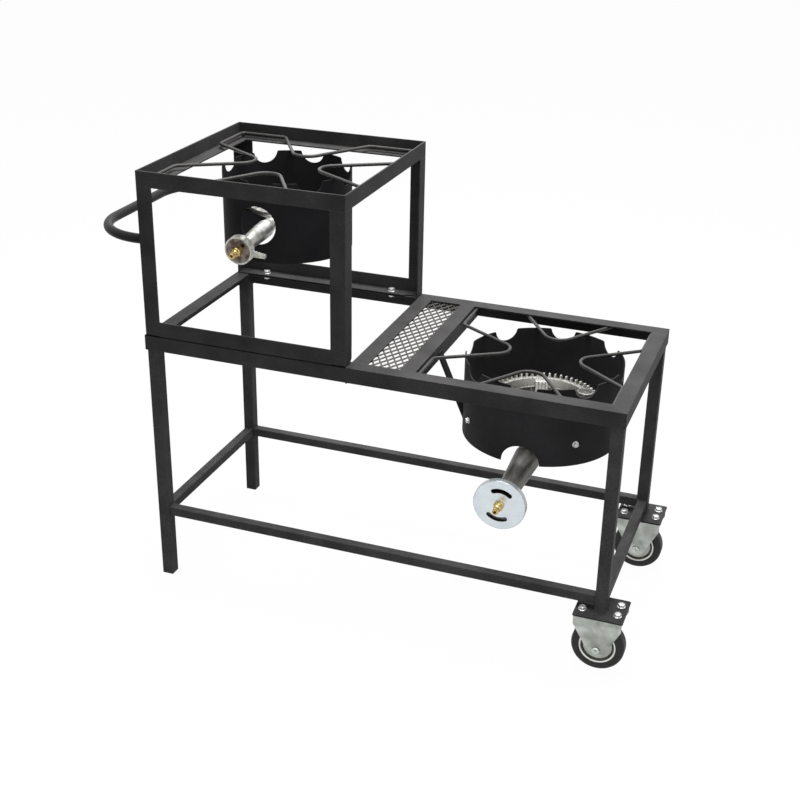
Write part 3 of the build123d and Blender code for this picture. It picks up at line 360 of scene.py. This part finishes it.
def within(tree, value, middle, reach):
    """1 where a value lies nearer to the middle than the reach, and 0 elsewhere."""
    apart = add_node(tree, "ShaderNodeMath", {"operation": "SUBTRACT", 1: middle}, {0: value})
    size = add_node(tree, "ShaderNodeMath", {"operation": "ABSOLUTE"}, {0: apart.outputs[0]})
    return add_node(tree, "ShaderNodeMath", {"operation": "LESS_THAN", 1: reach}, {0: size.outputs[0]}).outputs[0]


def toned_where(material, mask, code, share):
    """Mix another colour over a material's own colour where the mask is 1."""
    tree = material.node_tree
    shader = tree.nodes["Principled BSDF"]
    part = add_node(tree, "ShaderNodeMath", {"operation": "MULTIPLY", 1: share}, {0: mask})
    mixed = add_node(tree, "ShaderNodeMix", {"data_type": "RGBA", 7: linear(code)},
                     {0: part.outputs[0], 6: shader.inputs["Base Color"].links[0].from_socket})
    tree.links.new(mixed.outputs[2], shader.inputs["Base Color"])


def turned(profile, sides, middle="NGON"):
    """A turned piece: a circle drawn out along +Z through each radius and height of the profile, in mm."""
    radius, height = profile[0]
    bpy.ops.object.select_all(action="DESELECT")
    bpy.ops.mesh.primitive_circle_add(vertices=sides, radius=radius * mm, fill_type=middle,
                                      location=(0, 0, height * mm))
    bpy.ops.object.mode_set(mode="EDIT")
    bpy.ops.mesh.select_mode(type="VERT")
    bpy.ops.mesh.select_all(action="SELECT")
    for next_radius, next_height in profile[1:]:
        bpy.ops.mesh.extrude_region_move(TRANSFORM_OT_translate={"value": (0, 0, (next_height - height) * mm)})
        bpy.ops.transform.resize(value=(next_radius / radius, next_radius / radius, 1))
        radius, height = next_radius, next_height
    bpy.ops.mesh.select_all(action="SELECT")
    bpy.ops.mesh.remove_doubles(threshold=0.01 * mm)
    bpy.ops.mesh.normals_make_consistent(inside=False)
    bpy.ops.object.mode_set(mode="OBJECT")
    bpy.ops.object.transform_apply(location=True, rotation=True, scale=True)
    return bpy.context.object


wheel_side = [(38, 14.2), (37.2, 15), (35, 15), (34, 14.2), (34, 6.5), (33.5, 6), (30.5, 6), (30, 6.5), (30, 10.2),
              (29.2, 11), (22, 10.4), (13.4, 11), (12, 12.2), (12, 19.3), (11.3, 20), (5.3, 20)]
wheel_far = [(radius, -height) for radius, height in reversed(wheel_side)]
wheel_sides = 72
smooth_angle = radians(35)
wheel = turned(wheel_side + wheel_far + wheel_side[:1], wheel_sides, "NOTHING")
bpy.ops.object.shade_smooth_by_angle(angle=smooth_angle)
wheel_zinc = bare_metal("zinc_plated_wheel", "#c2c2bd", "#eeeeea", 0.26, 0.38, 18, 1.4, 0.05, 0.8)
for end in ("front", "back"):
    low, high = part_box(f"caster_wheel_{end}")
    rolling = set_out(f"pressed_wheel_{end}", wheel, [facing((low + high) / 2, (0, 1, 0))], wheel_zinc,
                      f"{end}_wheel")
    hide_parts(f"caster_wheel_{end}")
bpy.data.objects.remove(wheel)
coat_nodes(wheel_zinc, "caster_wheel")
groove_middle = 32 * mm
groove_half = 1.9 * mm
tree = wheel_zinc.node_tree
wheel_radius = from_middle(tree, (low + high) / 2, (1, 0, 1))
# Painted shade: the middle disc is coloured a darker grey behind the fork.
toned_where(wheel_zinc, within(tree, wheel_radius, 0, groove_middle), "#868882", 0.8)
# The groove is coloured nearly black: partly old grease, partly painted shade in the groove.
toned_where(wheel_zinc, within(tree, wheel_radius, groove_middle, groove_half), "#23221f", 0.9)

# Caster axles: steel pins riveted through the forks.
# Zinc plated, each end spread by a punch that leaves a four pointed star.
axle_low, axle_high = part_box("caster_axle_front")
axle_half = (axle_high[1] - axle_low[1]) / 2 / mm
head_thick = 3
head_half = axle_half - head_thick
axle_end = [(0.8, axle_half - 2.2), (2.4, axle_half - 0.6), (3.2, axle_half), (6.2, axle_half - 0.3),
            (8, axle_half - 1.6), (8, head_half), (5, head_half)]
punch_sides = 16
punch_inner = 2
punch_outer = 3.5
punch_spread = 1.85
star_points = 4
axle = turned([(radius, -height) for radius, height in axle_end] + axle_end[::-1], punch_sides)
bpy.ops.object.mode_set(mode="EDIT")
bpy.ops.mesh.select_mode(type="VERT")
bpy.ops.mesh.select_all(action="DESELECT")
bpy.ops.object.mode_set(mode="OBJECT")
for point in axle.data.vertices:
    step = round(atan2(point.co.y, point.co.x) / (2 * pi / punch_sides))
    on_star = step % (punch_sides // star_points) == 0
    point.select = on_star and punch_inner < point.co.xy.length / mm < punch_outer
bpy.ops.object.mode_set(mode="EDIT")
bpy.ops.transform.resize(value=(punch_spread, punch_spread, 1))
bpy.ops.object.mode_set(mode="OBJECT")
bpy.ops.object.shade_smooth_by_angle(angle=smooth_angle)
axle_zinc = bare_metal("zinc_plated_rivet", "#a3a7a2", "#c6cac5", 0.26, 0.38, 6, 1.0, 0.04)
for end in ("front", "back"):
    low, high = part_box(f"caster_axle_{end}")
    pin = set_out(f"riveted_axle_{end}", axle, [facing((low + high) / 2, (0, 1, 0))], axle_zinc)
    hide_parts(f"caster_axle_{end}")
bpy.data.objects.remove(axle)
coat_nodes(axle_zinc, "caster_axle")


# Bolts of the casters and the box: hexagon flange bolts with nuts, M8, cold headed and zinc plated.
# Bright and slightly blue, with a cone under the hexagon, chamfered corners and a dished top.
def pick_faces(piece, wanted):
    """Select just the faces whose centre and normal pass the test, and leave the piece in edit mode."""
    bpy.ops.object.mode_set(mode="EDIT")
    bpy.ops.mesh.select_mode(type="FACE")
    bpy.ops.mesh.select_all(action="DESELECT")
    bpy.ops.object.mode_set(mode="OBJECT")
    for face in piece.data.polygons:
        face.select = wanted(face.center, face.normal)
    bpy.ops.object.mode_set(mode="EDIT")


def hexagon(flats, foot, height, chamfer, dish):
    """A hexagon with its end corners taken off and its upper face dished, sizes in mm."""
    bpy.ops.object.select_all(action="DESELECT")
    bpy.ops.mesh.primitive_cylinder_add(vertices=6, radius=flats / 2 / cos(pi / 6) * mm, depth=height * mm,
                                        location=(0, 0, (foot + height / 2) * mm))
    piece = bpy.context.object
    pick_faces(piece, lambda centre, normal: abs(normal.z) > 0.9)
    bpy.ops.mesh.bevel(offset=chamfer * mm, segments=2)
    bpy.ops.object.mode_set(mode="OBJECT")
    bpy.ops.object.transform_apply(location=True, rotation=True, scale=True)
    pick_faces(piece, lambda centre, normal: normal.z > 0.9)
    bpy.ops.mesh.inset(thickness=flats / 8 * mm)
    bpy.ops.transform.translate(value=(0, 0, -dish * mm))
    bpy.ops.object.mode_set(mode="OBJECT")
    return piece


def joined(*parts):
    """One piece of several, smooth except at its sharp edges."""
    bpy.ops.object.select_all(action="DESELECT")
    for part in parts:
        part.select_set(True)
    bpy.context.view_layer.objects.active = parts[0]
    bpy.ops.object.join()
    bpy.ops.object.shade_smooth_by_angle(angle=smooth_angle)
    return bpy.context.object


def flange_bolt(thread, flats, head, flange, washer, nut, grip):
    """A flange bolt and its nut, the seat of the head at the origin and the head upwards, sizes in mm."""
    tail = 2
    end = -grip - nut - tail
    pitch = 1
    profile = [(thread * 0.7, end), (thread, end + 0.6)]
    for turn in range(1, 1 + int(tail / pitch)):
        profile += [(thread * 0.86, end + turn * pitch - 0.1), (thread, end + turn * pitch + 0.4)]
    profile += [(thread, 0), (flange, 0), (flange, washer * 0.55), (flange * 0.94, washer * 0.8), (flats / 2, washer)]
    shank = turned(profile, 24)
    cap = hexagon(flats, washer * 0.8, head + washer * 0.2, flats * 0.06, 0.35)
    lock = hexagon(flats, -grip - nut, nut, flats * 0.05, 0)
    return joined(shank, cap, lock)


plate_thick = 4
fork_sheet = 3
rail_wall = 3
bolt_across = 35
bolt_along = 18
bolt_zinc = bare_metal("zinc_plated_bolts", "#b6bab8", "#e6e9e7", 0.32, 0.44, 9, 1.2, 0.04, 0.7)
m8 = dict(thread=4, flats=13, head=5, flange=8.5, washer=1.5, nut=6.5)
caster_bolt = flange_bolt(grip=plate_thick + fork_sheet, **m8)
caster_places = []
for end in ("front", "back"):
    low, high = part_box(f"caster_plate_{end}")
    middle = (low + high) / 2
    # Each head stops at its own angle, where the spanner left it.
    for x in (-bolt_across, bolt_across):
        for y in (-bolt_along, bolt_along):
            turn = Matrix.Rotation(radians(3 * x + 7 * y), 4, "Z")
            caster_places.append(Matrix.Translation((middle.x + x * mm, middle.y + y * mm, high[2])) @ turn)
bolts = set_out("caster_flange_bolts", caster_bolt, caster_places, bolt_zinc)
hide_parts("caster_bolts")
bpy.data.objects.remove(caster_bolt)
coat_nodes(bolt_zinc, "caster_bolts", "box_bolts", "burner_bolts")

box_bolt_inset = 67
box_bolt = flange_bolt(grip=2 * rail_wall, **m8)
box_places = []
for side in ("front", "back"):
    low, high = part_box(f"box_bottom_rail_{side}")
    for x in (low[0] + box_bolt_inset * mm, high[0] - box_bolt_inset * mm):
        turn = Matrix.Rotation(radians(x * 400), 4, "Z")
        box_places.append(Matrix.Translation((x, (low[1] + high[1]) / 2, low[2] + rail_wall * mm)) @ turn)
bolts = set_out("box_flange_bolts", box_bolt, box_places, bolt_zinc)
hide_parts("box_bolts")
bpy.data.objects.remove(box_bolt)


def both(tree, one, other):
    """1 where two masks are both 1."""
    return add_node(tree, "ShaderNodeMath", {"operation": "MULTIPLY"}, {0: one, 1: other}).outputs[0]


# Painted shadow: a near-black line along the seam where the box's bottom rails sit on the frame, on upright faces under
# the box.
joint_half = 1.3 * mm
upright_lean = 0.5
low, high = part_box("box_bottom_rail_front")
tree = satin_black.node_tree
normal = add_node(tree, "ShaderNodeNewGeometry", {}).outputs["True Normal"]
lean = add_node(tree, "ShaderNodeSeparateXYZ", {}, {0: normal}).outputs["Z"]
at_joint = within(tree, from_middle(tree, (0, 0, low.z), (0, 0, 1)), 0, joint_half)
under_box = within(tree, from_middle(tree, (low + high) / 2, (1, 0, 0)), 0, (high.x - low.x) / 2)
painted_seam_shadow = both(tree, both(tree, within(tree, lean, 0, upright_lean), at_joint), under_box)
toned_where(satin_black, painted_seam_shadow, "#0b0b0b", 0.9)


# Feet of the box's posts: the side flange of each post runs down to the front or back rail's flange, which
# ends square under it. Its lower corner is clipped, and the sides between the posts are left open. Angle steel,
# coated with the frame.
def block(size, middle=(0, 0, 0)):
    """A block of a size about a middle, in metres, left in edit mode with all of it selected."""
    bpy.ops.object.select_all(action="DESELECT")
    bpy.ops.mesh.primitive_cube_add(size=1)
    bpy.ops.object.mode_set(mode="EDIT")
    bpy.ops.mesh.select_all(action="SELECT")
    bpy.ops.transform.resize(value=size)
    bpy.ops.transform.translate(value=middle)
    return bpy.context.object


foot_gap = rail_wall
foot_clip = 8
foot_inset = 0.4
frame_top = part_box("frame_rail_front")[1].z
low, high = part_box("box_post_front_right")
foot_height = low.z - frame_top - foot_gap * mm
seat_side = high.y - low.y - 2 * foot_inset * mm
flange = block((rail_wall * mm, seat_side, foot_height))
bpy.ops.mesh.select_mode(type="EDGE")
bpy.ops.mesh.select_all(action="DESELECT")
bpy.ops.object.mode_set(mode="OBJECT")
for edge in flange.data.edges:
    middle = sum((flange.data.vertices[index].co for index in edge.vertices), Vector()) / 2
    edge.select = middle.y > foot_clip * mm and middle.z < -foot_clip * mm and abs(middle.x) < 0.1 * mm
bpy.ops.object.mode_set(mode="EDIT")
bpy.ops.mesh.bevel(offset=foot_clip * mm, segments=4, affect="EDGES")
bpy.ops.object.mode_set(mode="OBJECT")
seat = block((seat_side, seat_side, (rail_wall - foot_inset) * mm))
bpy.ops.mesh.bevel(offset=foot_inset * mm, segments=2, affect="EDGES")
bpy.ops.object.mode_set(mode="OBJECT")
for side in ("left", "right"):
    foot_places = []
    seat_places = []
    for end in ("front", "back"):
        low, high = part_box(f"box_post_{end}_{side}")
        foot_x = low.x + rail_wall / 2 * mm if side == "left" else high.x - rail_wall / 2 * mm
        foot_places.append(Matrix.Translation((foot_x, (low.y + high.y) / 2, low.z - foot_height / 2)))
        seat_depth = seat_side if side == "left" else seat_side - foot_clip * mm
        outer_y = low.y + seat_depth / 2 if end == "front" else high.y - seat_depth / 2
        seat_places.append(Matrix.Translation(((low.x + high.x) / 2, outer_y, frame_top + rail_wall / 2 * mm))
                           @ Matrix.Diagonal((1, seat_depth / seat_side, 1, 1)))
    feet = joined(set_out(f"{side}_post_flanges", flange, foot_places, satin_black),
                  set_out(f"{side}_post_seats", seat, seat_places, satin_black))
    feet.name = f"{side}_post_feet"
    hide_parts(f"box_bottom_rail_{side}")
for pattern in (flange, seat):
    bpy.data.objects.remove(pattern)

# Handle: round steel tube bent to a U, with a weld bead right round each end where it butts on the left posts.
# Coated with the frame, and smoother than the rails where hands have polished it; its darker tone is painted shade.
# Darker copy of the frame's coat: the darker tone is painted shade on the handle.
handle_black = powder_coat("painted_shade_handle_coat", "#222121", "#302f2f", "#3c3b3b", 0.34, 0.46, 0.06, 2.2, 0.08)
coat_nodes(handle_black, "handle")
ring_steps = 40
handle_low, handle_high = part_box("handle")
tube_radius = (handle_high[2] - handle_low[2]) / 2
bpy.ops.object.select_all(action="DESELECT")
bpy.ops.mesh.primitive_torus_add(major_radius=tube_radius + bead_radius / 3, minor_radius=bead_radius,
                                 major_segments=ring_steps, minor_segments=bead_sides)
ring_bead = bpy.context.object
bpy.ops.object.mode_set(mode="EDIT")
bpy.ops.mesh.select_mode(type="VERT")
bpy.ops.mesh.select_all(action="DESELECT")
bpy.ops.object.mode_set(mode="OBJECT")
for point in ring_bead.data.vertices:
    point.select = round(atan2(point.co.y, point.co.x) / (2 * pi / ring_steps)) % 2 == 0
bpy.ops.object.mode_set(mode="EDIT")
bpy.ops.transform.shrink_fatten(value=-bead_radius * (1 - bead_waist))
bpy.ops.object.mode_set(mode="OBJECT")
bpy.ops.object.shade_smooth()
handle_places = [facing((handle_high[0], y, (handle_low[2] + handle_high[2]) / 2), (1, 0, 0))
                 for y in (handle_low[1] + tube_radius, handle_high[1] - tube_radius)]
set_out("handle_welds", ring_bead, handle_places, satin_black)
bpy.data.objects.remove(ring_bead)

# Shelf mesh: a sheet of expanded steel under the crossbars' flanges.
# Slit and stretched sheet, so each strand is tilted and meets its neighbours in a knuckle; coated grey.
cell_across = 17
cell_along = 30
hole_share = 0.79
strand_tilt = 0.75
strand_thick = 1.5
mesh_low, mesh_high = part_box("shelf_mesh")
mesh_size = mesh_high - mesh_low
bpy.ops.object.select_all(action="DESELECT")
bpy.ops.mesh.primitive_circle_add(vertices=4, radius=1, fill_type="NOTHING")
sheet = bpy.context.object
bpy.ops.object.mode_set(mode="EDIT")
bpy.ops.mesh.select_all(action="SELECT")
bpy.ops.transform.resize(value=(cell_across / 2 * mm, cell_along / 2 * mm, 1))
bpy.ops.mesh.subdivide(number_cuts=2)
bpy.ops.mesh.extrude_region_move()
bpy.ops.transform.resize(value=(hole_share, hole_share, 1))
bpy.ops.mesh.select_mode(type="VERT")
bpy.ops.object.mode_set(mode="OBJECT")
inner = [point.index for point in sheet.data.vertices if point.select]
for way in (1, -1):
    bpy.ops.object.mode_set(mode="EDIT")
    bpy.ops.mesh.select_all(action="DESELECT")
    bpy.ops.object.mode_set(mode="OBJECT")
    for index in inner:
        sheet.data.vertices[index].select = sheet.data.vertices[index].co.x * way > 1e-6
    bpy.ops.object.mode_set(mode="EDIT")
    bpy.ops.transform.translate(value=(0, 0, way * strand_tilt * mm))
    bpy.ops.object.mode_set(mode="OBJECT")
columns = int(mesh_size.x / mm / cell_across) + 2
rows = int(mesh_size.y / mm / cell_along) + 2
for name, count, step in (("across", columns, (cell_across * mm, 0, 0)), ("along", rows, (0, cell_along * mm, 0))):
    repeat = sheet.modifiers.new(name, "ARRAY")
    repeat.count = count
    repeat.use_relative_offset = False
    repeat.use_constant_offset = True
    repeat.constant_offset_displace = step
    bpy.ops.object.modifier_apply(modifier=name)
bpy.ops.object.mode_set(mode="EDIT")
bpy.ops.mesh.select_all(action="SELECT")
bpy.ops.mesh.duplicate_move(TRANSFORM_OT_translate={"value": (cell_across / 2 * mm, cell_along / 2 * mm, 0)})
bpy.ops.mesh.select_all(action="SELECT")
bpy.ops.mesh.remove_doubles(threshold=0.05 * mm)
middle = (mesh_low + mesh_high) / 2
corner = Vector((middle.x - (columns - 1) // 2 * cell_across * mm, middle.y - (rows - 1) // 2 * cell_along * mm,
                 mesh_high[2] - (strand_tilt + strand_thick / 2) * mm))
bpy.ops.transform.translate(value=corner)
for place, outward in ((mesh_low, (-1, 0, 0)), (mesh_low, (0, -1, 0)), (mesh_high, (1, 0, 0)), (mesh_high, (0, 1, 0))):
    bpy.ops.mesh.select_all(action="SELECT")
    bpy.ops.mesh.bisect(plane_co=place, plane_no=outward, clear_outer=True)
bpy.ops.mesh.select_all(action="SELECT")
bpy.ops.mesh.normals_make_consistent(inside=False)
bpy.ops.object.mode_set(mode="OBJECT")
thicken = sheet.modifiers.new("strand", "SOLIDIFY")
thicken.thickness = strand_thick * mm
thicken.offset = 0
bpy.ops.object.modifier_apply(modifier="strand")
mesh_grey = powder_coat("coated_expanded_steel", "#282724", "#3f3d39", "#4d4b46", 0.3, 0.45, 0.3, 1.5, 0.1)
shelf = set_out("expanded_shelf_mesh", sheet, [Matrix.Identity(4)], mesh_grey)
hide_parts("shelf_mesh")
coat_nodes(mesh_grey, "shelf_mesh")
bpy.data.objects.remove(sheet)

# Bolts of the lower wind shield and the upper pan: M6 flange bolts like the larger ones.
# They hold the bent ends of the flat bars against the sheet, and the pan on its bar.
m6 = dict(thread=3, flats=10, head=4, flange=6.5, washer=1.2, nut=5)
strap_thick = 4
strap_angle = 39
strap_drop = 6.5
shield_grip = 6.365
low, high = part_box("lower_wind_shield")
shield_middle = (low + high) / 2
shield_radius = (high[0] - low[0]) / 2
strap_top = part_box("lower_support_bar")[1][2]
bolt_level = strap_top - (strap_thick + strap_drop) * mm
shield_bolt = flange_bolt(grip=shield_grip, **m6)
shield_places = []
for turn in range(4):
    angle = radians(strap_angle + 90 * turn)
    outward = Vector((cos(angle), sin(angle), 0))
    bolt_seat = Vector((shield_middle.x, shield_middle.y, bolt_level)) + shield_radius * outward
    shield_places.append(facing(bolt_seat, outward))
low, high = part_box("upper_support_bar")
pan_seat = Vector(((low[0] + high[0]) / 2, (low[1] + high[1]) / 2, high[2] - strap_thick * mm))
shield_places.append(facing(pan_seat, (0, 0, -1)))
bolts = set_out("burner_flange_bolts", shield_bolt, shield_places, bolt_zinc)
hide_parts("burner_bolts")
bpy.data.objects.remove(shield_bolt)

# Hanger welds: one bead across each hanger where it meets the web.
# Steel in lapped ripples, coated black.
hanger_seams = []
for side in ("left", "right"):
    low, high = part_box(f"lower_hanger_{side}")
    web = low[0] if side == "left" else high[0]
    hanger_seams.append(((web, low[1], high[2]), (web, high[1], high[2])))
set_out("hanger_welds", bead, [along_seam(*seam) for seam in hanger_seams], satin_black)
bpy.data.objects.remove(bead)

# Lower ring burner: a toothed ring cast in sand, with its cone and bosses turned on a lathe.
# Aluminium alloy, bright and grainy on the teeth and at the foot, smoother on the cone, which is painted darker grey as
# painted shade; the boss tops' dark grey is a painted reflection.
ring_rim = 94
ring_land = 18
ring_wall = [(76, 0), (76, 5.5), (77, 6.5), (92.5, 17.2), (ring_rim, ring_land), (102, ring_land), (103.5, 16.5),
             (104, 10.5), (112, 10.5), (113.5, 9), (112, 0), (76, 0)]
tooth_count = 56
tooth_top = 22.5
tooth_foot = 9
tooth_inner = 103
tooth_outer = 114.5
tooth_width = 6.4
tooth_tip = 0.62
tooth_lean = 1.2
tooth_round = 1.1
tooth = block(((tooth_outer - tooth_inner) * mm, tooth_width * mm, (tooth_top - tooth_foot) * mm),
              ((tooth_outer + tooth_inner) / 2 * mm, 0, (tooth_top + tooth_foot) / 2 * mm))
bpy.ops.object.mode_set(mode="OBJECT")
pick_faces(tooth, lambda centre, normal: normal.z > 0.9)
bpy.ops.transform.resize(value=(tooth_tip, tooth_tip, 1))
bpy.ops.transform.translate(value=(tooth_lean * mm, 0, 0))
bpy.ops.mesh.select_all(action="SELECT")
bpy.ops.mesh.bevel(offset=tooth_round * mm, segments=2, affect="EDGES")
bpy.ops.object.mode_set(mode="OBJECT")

lug_inner = 65
lug_outer = 90
lug_width = 28
lug_top = 17.5
lug_foot = -3
lug_ribs = 4
lug_taper = 0.62
rib_edge = 1.4
rib_depth = 1.6
lug = block(((lug_outer - lug_inner) * mm, lug_width * mm, (lug_top - lug_foot) * mm),
            ((lug_outer + lug_inner) / 2 * mm, 0, (lug_top + lug_foot) / 2 * mm))
for rib in range(1, lug_ribs):
    bpy.ops.mesh.select_all(action="SELECT")
    bpy.ops.mesh.bisect(plane_co=(0, (rib / lug_ribs - 0.5) * lug_width * mm, 0), plane_no=(0, 1, 0))
bpy.ops.object.mode_set(mode="OBJECT")
pick_faces(lug, lambda centre, normal: normal.z > 0.9)
bpy.ops.transform.resize(value=(lug_taper, 1, 1), center_override=(lug_outer * mm, 0, 0))
bpy.ops.object.mode_set(mode="OBJECT")
pick_faces(lug, lambda centre, normal: normal.x < -0.8)
bpy.ops.mesh.inset(thickness=rib_edge * mm, depth=rib_depth * mm, use_individual=True)
bpy.ops.object.mode_set(mode="OBJECT")

boss_radius = 18
boss_centre = 91
boss_foot = 4.5
boss_top = 25.5
boss = turned([(boss_radius, boss_foot), (boss_radius, boss_top - 1.6), (boss_radius - 0.6, boss_top - 0.6),
               (boss_radius - 1.8, boss_top), (boss_radius - 4, boss_top), (boss_radius - 5, boss_top - 1),
               (4, boss_top - 1.4), (2.5, boss_top - 0.6)], 40)

wall = turned(ring_wall, 112, "NOTHING")
low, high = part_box("lower_ring_burner")
ring_foot = Vector(((low.x + high.x) / 2, (low.y + high.y) / 2, low.z))
lug_angle = 105
boss_angle = 28
ring_alloy = bare_metal("sand_cast_aluminium", "#32312e", "#b0afa9", 0.36, 0.6, 3, 2.4, 0.5, 0.75)
tooth_alloy = bare_metal("fettled_cast_aluminium", "#8d8c87", "#e6e5df", 0.36, 0.55, 3, 2.4, 0.4, 0.75)


def round_ring(angle, reach=0):
    """Matrix that turns a piece about the ring's axis, after moving it out by the reach."""
    turn = Matrix.Rotation(radians(angle), 4, "Z")
    return Matrix.Translation(ring_foot) @ turn @ Matrix.Translation((reach * mm, 0, 0))


ring_pieces = [
    set_out("ring_wall", wall, [round_ring(0)], ring_alloy),
    set_out("ring_teeth", tooth, [round_ring(360 / tooth_count * turn) for turn in range(tooth_count)], tooth_alloy),
    set_out("ring_lugs", lug, [round_ring(lug_angle), round_ring(lug_angle + 180)], tooth_alloy),
    set_out("ring_bosses", boss, [round_ring(boss_angle, boss_centre), round_ring(boss_angle + 180, boss_centre)],
            ring_alloy),
]
for pattern in (wall, tooth, lug, boss):
    bpy.data.objects.remove(pattern)
ring = joined(*ring_pieces)
ring.name = "toothed_ring"
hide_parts("lower_ring_burner")
coat_nodes(ring_alloy, "lower_ring_burner")

cone_radius = 84.5 * mm
cone_radius_half = 8.5 * mm
cone_level = 12 * mm
cone_level_half = 5.4 * mm
boss_edge = 4.5
tree = ring_alloy.node_tree
# Painted shade: the cone inside the ring is coloured dark grey.
slope_radius = within(tree, from_middle(tree, ring_foot, (1, 1, 0)), cone_radius, cone_radius_half)
slope_level = within(tree, from_middle(tree, ring_foot, (0, 0, 1)), cone_level, cone_level_half)
toned_where(ring_alloy, both(tree, slope_radius, slope_level), "#33322f", 0.88)
# Painted reflection: the tops of the bosses are coloured dark grey for the dark shield they mirror.
for angle in (boss_angle, boss_angle + 180):
    top = round_ring(angle, boss_centre) @ Vector((0, 0, boss_top * mm))
    boss_top_painted_reflection = within(tree, from_middle(tree, top, (1, 1, 1)), 0, (boss_radius - boss_edge) * mm)
    toned_where(ring_alloy, boss_top_painted_reflection, "#454441", 0.8)

# Lower burner base and mixing tube: a plate that closes the ring, and a cast venturi under it.
# The plate is steel blasted to a bright grain; the tube is grey aluminium, brushed along its length.
plain_plate = bare_metal("blasted_steel_plate", "#54524e", "#a9a7a1", 0.4, 0.58, 5, 2.0, 0.3, 0.8)
coat_nodes(plain_plate, "lower_burner_base")
tube_alloy = bare_metal("brushed_cast_aluminium", "#43423f", "#767571", 0.34, 0.5, 6, 2.0, 0.2, 0.6, (1, 0.12, 1))
coat_nodes(tube_alloy, "lower_mixing_tube")
mouth = Vector((337.75, -258.675, 374.652)) * mm
bell_slope = 2.86
bell_reach = 72.7 * mm
bell_middle = 13 * mm
bell_half = 7.7 * mm
tree = tube_alloy.node_tree
inward = from_middle(tree, mouth, (0, 1, 0))
sloped = add_node(tree, "ShaderNodeMath", {"operation": "MULTIPLY_ADD", 1: bell_slope},
                  {0: inward, 2: from_middle(tree, mouth, (1, 0, 1))})
bell_painted_shade = both(tree, within(tree, sloped.outputs[0], 0, bell_reach), within(tree, inward, bell_middle, bell_half))
# Painted shade: the inside of the bell mouth is coloured nearly black.
toned_where(tube_alloy, bell_painted_shade, "#0d0c0b", 0.97)

# Air shutters: a slotted disc on the lower inlet and a deep cup with an ear on the upper one.
# Pressed aluminium sheet; the disc is polished, the cup's face is stained brown by heat inside a bright rim.
bright_sheet = bare_metal("polished_aluminium_sheet", "#d3dce2", "#e6edf1", 0.22, 0.32, 40, 1.2, 0.03, 0.7)
coat_nodes(bright_sheet, "lower_air_shutter")
disc_radius = 51.5 * mm
disc_rim = 1.3 * mm
tree = bright_sheet.node_tree
# Painted shade: a darker grey band round the disc's rim, for its edge in shade.
rim_painted_shade = within(tree, from_middle(tree, mouth, (1, 0, 1)), disc_radius, disc_rim)
toned_where(bright_sheet, rim_painted_shade, "#85898c", 0.6)
stained_sheet = bare_metal("heat_stained_aluminium_sheet", "#8e8e88", "#c9c9c3", 0.24, 0.38, 7, 1.6, 0.1, 0.85)
coat_nodes(stained_sheet, "upper_air_shutter")
upper_face = Vector((-225.25, -193.699, 784.009)) * mm
stain_radius = 25.5 * mm
blot_size = 15
blot_low = 0.44
blot_high = 0.58
tree = stained_sheet.node_tree
near_face = within(tree, from_middle(tree, upper_face, (1, 1, 1)), 0, stain_radius)
toned_where(stained_sheet, near_face, "#62564a", 0.82)
place = add_node(tree, "ShaderNodeTexCoord", {}).outputs["Object"]
blots = add_node(tree, "ShaderNodeTexNoise", {"Scale": per_mm(blot_size), "Detail": 3}, {"Vector": place})
burnt = add_node(tree, "ShaderNodeMapRange", {"From Min": blot_low, "From Max": blot_high},
                 {"Value": blots.outputs["Fac"]})
toned_where(stained_sheet, both(tree, near_face, burnt.outputs[0]), "#3a2a20", 0.8)

# Gas nozzles: turned brass, each with a hexagon, a grooved neck, a threaded tail and a lock nut.
# Bright brass, with the lathe's fine lines and darker metal in the grooves.
nozzle_profile = [(0.7, -15.6), (3, -15.6), (3, -9.6), (5, -9.6), (5, 0), (8, 0), (8, 9), (7.5, 9), (7.5, 10.2),
                  (6.7, 10.6), (6.7, 11.6), (7.5, 12), (7.5, 13), (6.4, 14.4), (5.6, 16), (5.6, 17.5)]
thread_crests = 6
thread_pitch = 1.6
for crest in range(thread_crests):
    rise = thread_pitch * crest
    nozzle_profile += [(6, 18.2 + rise), (6, 18.8 + rise), (5.4, 19.4 + rise)]
nozzle_profile += [(5.4, 28), (3, 28), (3, 14)]
nozzle_sides = 32
nozzle_flats = 17
shank = turned(nozzle_profile, nozzle_sides)
grip = hexagon(nozzle_flats, foot=0, height=9, chamfer=0.9, dish=0)
lock_nut = hexagon(nozzle_flats, foot=-9.6, height=4, chamfer=0.7, dish=0)
nozzle = joined(shank, grip, lock_nut)
turned_brass = bare_metal("turned_brass", "#8c7136", "#e0c88a", 0.2, 0.32, 6, 1.0, 0.03, 0.95)
lower_tilt = radians(1.2)
upper_tilt = radians(4.5)
upper_mouth = Vector((-225.25, -193.998, 783.985)) * mm
for level, nozzle_seat, tilt in (("lower", mouth, lower_tilt), ("upper", upper_mouth, upper_tilt)):
    place = facing(nozzle_seat, (0, -cos(tilt), -sin(tilt)))
    brass = set_out(f"turned_nozzle_{level}", nozzle, [place], turned_brass)
    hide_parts(f"{level}_gas_nozzle")
bpy.data.objects.remove(nozzle)
coat_nodes(turned_brass, "lower_gas_nozzle", "upper_gas_nozzle")

# Upper burner: a pan with its inlet in one aluminium casting, under a cast aluminium cap.
# The casting is tumbled bright but keeps its sand grain; the cap is dulled and spotted dark by the flame.
pan_alloy = bare_metal("tumbled_cast_aluminium", "#b2b2ad", "#e0e0db", 0.28, 0.42, 10, 2.0, 0.3, 0.85)
coat_nodes(pan_alloy, "upper_burner_body")
cap_alloy = bare_metal("flame_spotted_aluminium", "#42413e", "#b4b3ad", 0.72, 0.88, 6, 1.8, 0.3, 0.2)
coat_nodes(cap_alloy, "upper_burner_cap")
